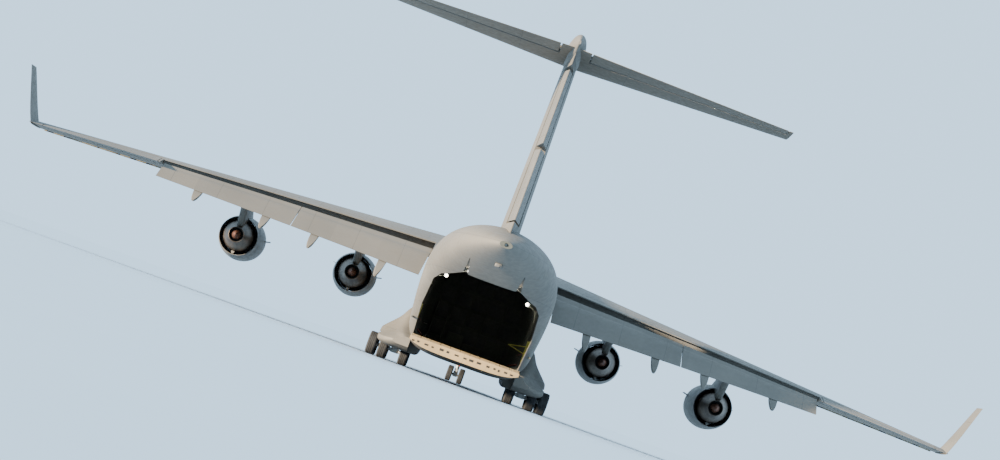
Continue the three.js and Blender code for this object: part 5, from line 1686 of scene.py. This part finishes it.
def raised(obj):
    return turned(obj, spot(0, DOOR_STATION, DOOR_Z), (1, 0, 0), DOOR_RAISED)


def ramp_top(station):
    lift = RAMP_THICK / math.cos(math.radians(RAMP_SLOPE))
    return RAMP_Z + (station - RAMP_STATION) * math.tan(math.radians(RAMP_SLOPE)) + lift


def ramp_bar(name, half, radius, x=0, sides=64):
    """A round bar about the ramp's hinge line."""
    return across(name, x, half, RAMP_STATION, RAMP_Z, radius, sides)


def make_ramp():
    body = "loading_ramp"
    hull = hull_solid("loading_ramp_skin", 29000, 37400)
    outline = [(RAMP_STATION, 0), (37000, 0), (37000, ramp_top(37000)),
               (RAMP_STATION, ramp_top(RAMP_STATION))]
    side = side_prism("ramp_side", outline, -RAMP_HALF, RAMP_HALF)
    reach = ramp_bar("ramp_reach", RAMP_HALF + 1, RAMP_REACH, sides=256)
    carve(hull, [side], "INTERSECT")
    carve(hull, [reach], "INTERSECT")
    nose = ramp_bar("ramp_nose", RAMP_HALF, RAMP_THICK)
    carve(nose, [hull_solid("nose_trim", 29000, 30200)], "INTERSECT")
    carve(hull, [nose], "UNION")
    carve(hull, [ramp_bar("slot", 50, RAMP_THICK + CLEAR, x) for x in RAMP_LUGS], smooth=30)
    lowered(hull)
    finished(hull, BELLY, body, [body])
    pivot = spot(0, RAMP_STATION, RAMP_Z)
    add_slot(hull, CREAM, lambda centre, normal: (centre - pivot).yz.length > (RAMP_REACH - 60) * UNIT)
    add_slot(hull, DECK, lambda centre, normal: normal.z > 0.7 and abs(centre.x) < 2890 * UNIT)
    pins = [ramp_bar("ramp_pin", 55, 60, x, 32) for x in RAMP_LUGS]
    finished(lowered(joined("ramp_pins", pins)), STEEL, body)
    start, stop = 30100, 35000
    outline = [(start, ramp_top(start) - 2), (stop, ramp_top(stop) - 2), (stop, ramp_top(stop) + TRAY_HIGH),
               (start, ramp_top(start) + TRAY_HIGH)]
    trays = [side_prism("tray", outline, x - TRAY_HALF, x + TRAY_HALF) for x in TRAYS]
    finished(lowered(joined("ramp_trays", trays)), STEEL, body)
    make_ramp_edge(body)


def make_ramp_edge(body):
    """The ramp's aft edge: near-black blocks of painted shade on the cream band, and a row of cream toes."""
    blocks = []
    random_widths = random.Random(4)
    x = -2750
    while x < 2700:
        wide = random_widths.uniform(90, 230)
        tall = random_widths.uniform(70, 130)
        base = 35330
        z = ramp_top(base) - 170 + random_widths.uniform(-20, 20)
        reach = math.sqrt(RAMP_REACH**2 - (z - RAMP_Z) ** 2)
        s = RAMP_STATION + reach
        blocks.append(box("edge_shade_block", x, x + wide, s - 40, s + 16, z - tall / 2, z + tall / 2))
        x += wide + random_widths.uniform(120, 330)
    # The blocks are near-black painted shade on the cream band.
    finished(lowered(joined("ramp_edge_shade_blocks", blocks)), SHADE, body)
    lip = []
    for i in range(11):
        x0 = -2880 + i * 525
        z = ramp_top(35200)
        lip.append(box("toe", x0, x0 + 500, 34900, 35380, z + 6, z + 30))
    finished(lowered(joined("ramp_toes", lip)), CREAM, body)


def make_cargo_door():
    body = "cargo_door"
    share = (44300 - 43000) / (45200 - 43000)
    plan = [(x - (75 if s < 36000 else CLEAR), s) for x, s in OPENING[:5]]
    plan += [(lerp(1450, 1345, share) - CLEAR, 44300), (lerp(1200, 1335, share) + CLEAR, 44300),
             (1200 + CLEAR, 43000 - CLEAR)]
    below = [(29000, 0), (29000, 3450), (35600, 3560), (40000, 4750), (43000, 5560), (45500, 6180),
             (45500, 0)]
    skin = hull_solid("cargo_door_skin", 33500, 46000)
    carve(skin, [plan_prism("door_plan", both_sides(plan), 0, 6000)], "INTERSECT")
    carve(skin, [side_prism("door_below", below, -4000, 4000)], "INTERSECT")
    front = ramp_bar("door_front", 4000, RAMP_REACH + 35, sides=256)
    carve(skin, [front, hull_solid("door_hollow", 33000, 45500, 260)], smooth=30)
    finished(raised(skin), BELLY, body, [body])
    arm = [(42900, 5250), (43700, 5430), (44150, 5930), (45100, 6090), (45100, 6270), (43800, 6150),
           (42900, 5700)]
    parts = []
    for sign in (-1, 1):
        a, b = sorted((sign * 1272, sign * 1378))
        parts.append(bevel(side_prism("door_arm", arm, a, b), 16))
    parts.append(across("door_tube", 0, 1499, DOOR_STATION, DOOR_Z, 88, 64))
    # The door's arms and tube are near-black primer, painted shade.
    finished(raised(joined("door_arms", parts)), SHADED_PRIMER, body)
    ribs = []
    for station in np.arange(36300, 42500, FRAME_STEP):
        arc = [(x, z) for x, _, z in hull_ring(station, 255, 360) if z < smooth_row(HULL_ROWS, station)[4]]
        half = np.interp(station, [35800, 40000, 41300, 43000], [2914, 2710, 2400, 1450]) - 190
        arc = sorted((x, z) for x, z in arc if abs(x) < half)
        fore, aft = station - 26, station + 26
        rings = [[(x, fore, z - 4), (x, aft, z - 4), (x, aft, z + 110), (x, fore, z + 110)]
                 for x, z in arc[::3] + [arc[-1]]]
        ribs.append(loft("door_rib", rings))
    # The door's ribs are near-black primer, painted shade.
    finished(raised(joined("door_ribs", ribs)), SHADED_PRIMER, body)


def make_hull_details():
    """Beacon, aerials, tail sensor and tail lamp."""
    profile = [(120, 0), (115, 40), (85, 85), (40, 108), (0.5, 112)]
    glow = lathe("belly_beacon", profile, (0, 22400, 1152), (0, 0, -1), 32, 60)
    finished(glow, RED_LAMP, "root")
    blades = []
    for station, tall in ((10800, 260), (13600, 330), (16900, 240)):
        root, tip = 1156, 1156 - tall
        outline = [(station, root), (station + 330, root), (station + 400, tip), (station + 250, tip)]
        blades.append(bevel(side_prism("aerial", outline, -16, 16), 8, 2))
    for station, tall in ((10200, 300), (12900, 240), (33800, 300)):
        root = smooth_row(HULL_ROWS, station)[2] - 8
        tip = root + tall
        outline = [(station, root), (station + 360, root), (station + 420, tip), (station + 260, tip)]
        blades.append(bevel(side_prism("aerial", outline, -16, 16), 8, 2))
    finished(joined("blade_aerials", blades), NOSE, "root")
    base, at = smooth_row(HULL_ROWS, SENSOR_STATION)[1], SENSOR_STATION
    body = bevel(box("sensor", -170, 170, at - 260, at + 260, base - 130, base + 60), 60, 3)
    eye = lengthwise("sensor_eye", 0, base - 50, at + 240, at + 300, 60)
    finished(joined("tail_sensor", [body, eye]), NOSE, "root")
    cone = lengthwise("tail_lamp", 0, 6720, 48498, 48560, 90, 24, 50)
    finished(cone, WINDOW, "root")


# Floor, lights and camera: the camera stands on the floor behind the aircraft and is banked as in the photo
CAMERA_AT = (-0.3, -60.0, 0.3)
CAMERA_PAN, CAMERA_TILT, PHOTO_ROLL = 0.066, 3.882, 19.92
LENS = 79.4
SKY_COLOR, SKY_POWER = (0.52, 0.76, 1.0), 1.9
FLOOR_TONE = (0.97, 0.97, 0.97)
SUN_COLOR, SUN_POWER = (1.0, 0.84, 0.62), 25.0
SUN_HEIGHT, SUN_ASIDE = 7, 52


def make_stage():
    """A pale floor under an even pale sky; the low sun reaches the aircraft alone."""
    reach = 900
    corners = [(-reach, -reach, 0), (reach, -reach, 0), (reach, reach, 0), (-reach, reach, 0)]
    floor = new_object("studio_floor", corners, [(0, 1, 2, 3)])
    paint = plain("studio_floor", FLOOR_TONE, 0.95, 0.5, 0.01, 0.0, Specular_IOR_Level=0.0)
    floor.data.materials.append(paint)
    world = bpy.data.worlds.new("studio_sky")
    world.use_nodes = True
    background = world.node_tree.nodes["Background"]
    background.inputs["Color"].default_value = (*SKY_COLOR, 1)
    background.inputs["Strength"].default_value = SKY_POWER
    bpy.context.scene.world = world
    sun = bpy.data.lights.new("sun", "SUN")
    sun.energy = SUN_POWER
    sun.angle = math.radians(3)
    sun.color = SUN_COLOR
    lamp = bpy.data.objects.new("sun", sun)
    lamp.rotation_euler = (math.radians(90 - SUN_HEIGHT), 0, math.radians(-SUN_ASIDE))
    bpy.context.scene.collection.objects.link(lamp)
    shaded = bpy.data.collections.new("out_of_the_sun")
    shaded.objects.link(floor)
    lamp.light_linking.receiver_collection = shaded
    shaded.collection_objects[0].light_linking.link_state = "EXCLUDE"


def make_camera():
    data = bpy.data.cameras.new("photo_camera")
    data.sensor_width = 36
    data.lens = LENS
    data.clip_end = 2000
    camera = bpy.data.objects.new("photo_camera", data)
    bpy.context.scene.collection.objects.link(camera)
    turn = Matrix.Rotation(math.radians(-CAMERA_PAN), 4, "Z")
    lift = Matrix.Rotation(math.radians(90 + CAMERA_TILT), 4, "X")
    bank = Matrix.Rotation(math.radians(PHOTO_ROLL), 4, "Z")
    camera.matrix_world = Matrix.Translation(Vector(CAMERA_AT)) @ turn @ lift @ bank
    bpy.context.scene.camera = camera


# The aircraft
make_fuselage()
make_glass()
make_side_doors()
make_hull_details()
make_hold()
make_ramp()
make_cargo_door()
for side, sign in SIDES:
    make_wing(side, sign)
    make_flaps(side, sign)
    make_aileron(side, sign)
    make_slats(side, sign)
make_wing_fairing()
make_engines()
make_fin()
make_tailplane()
make_wicks()
make_main_gear()
make_nose_gear()
make_pods()
make_stage()
make_camera()
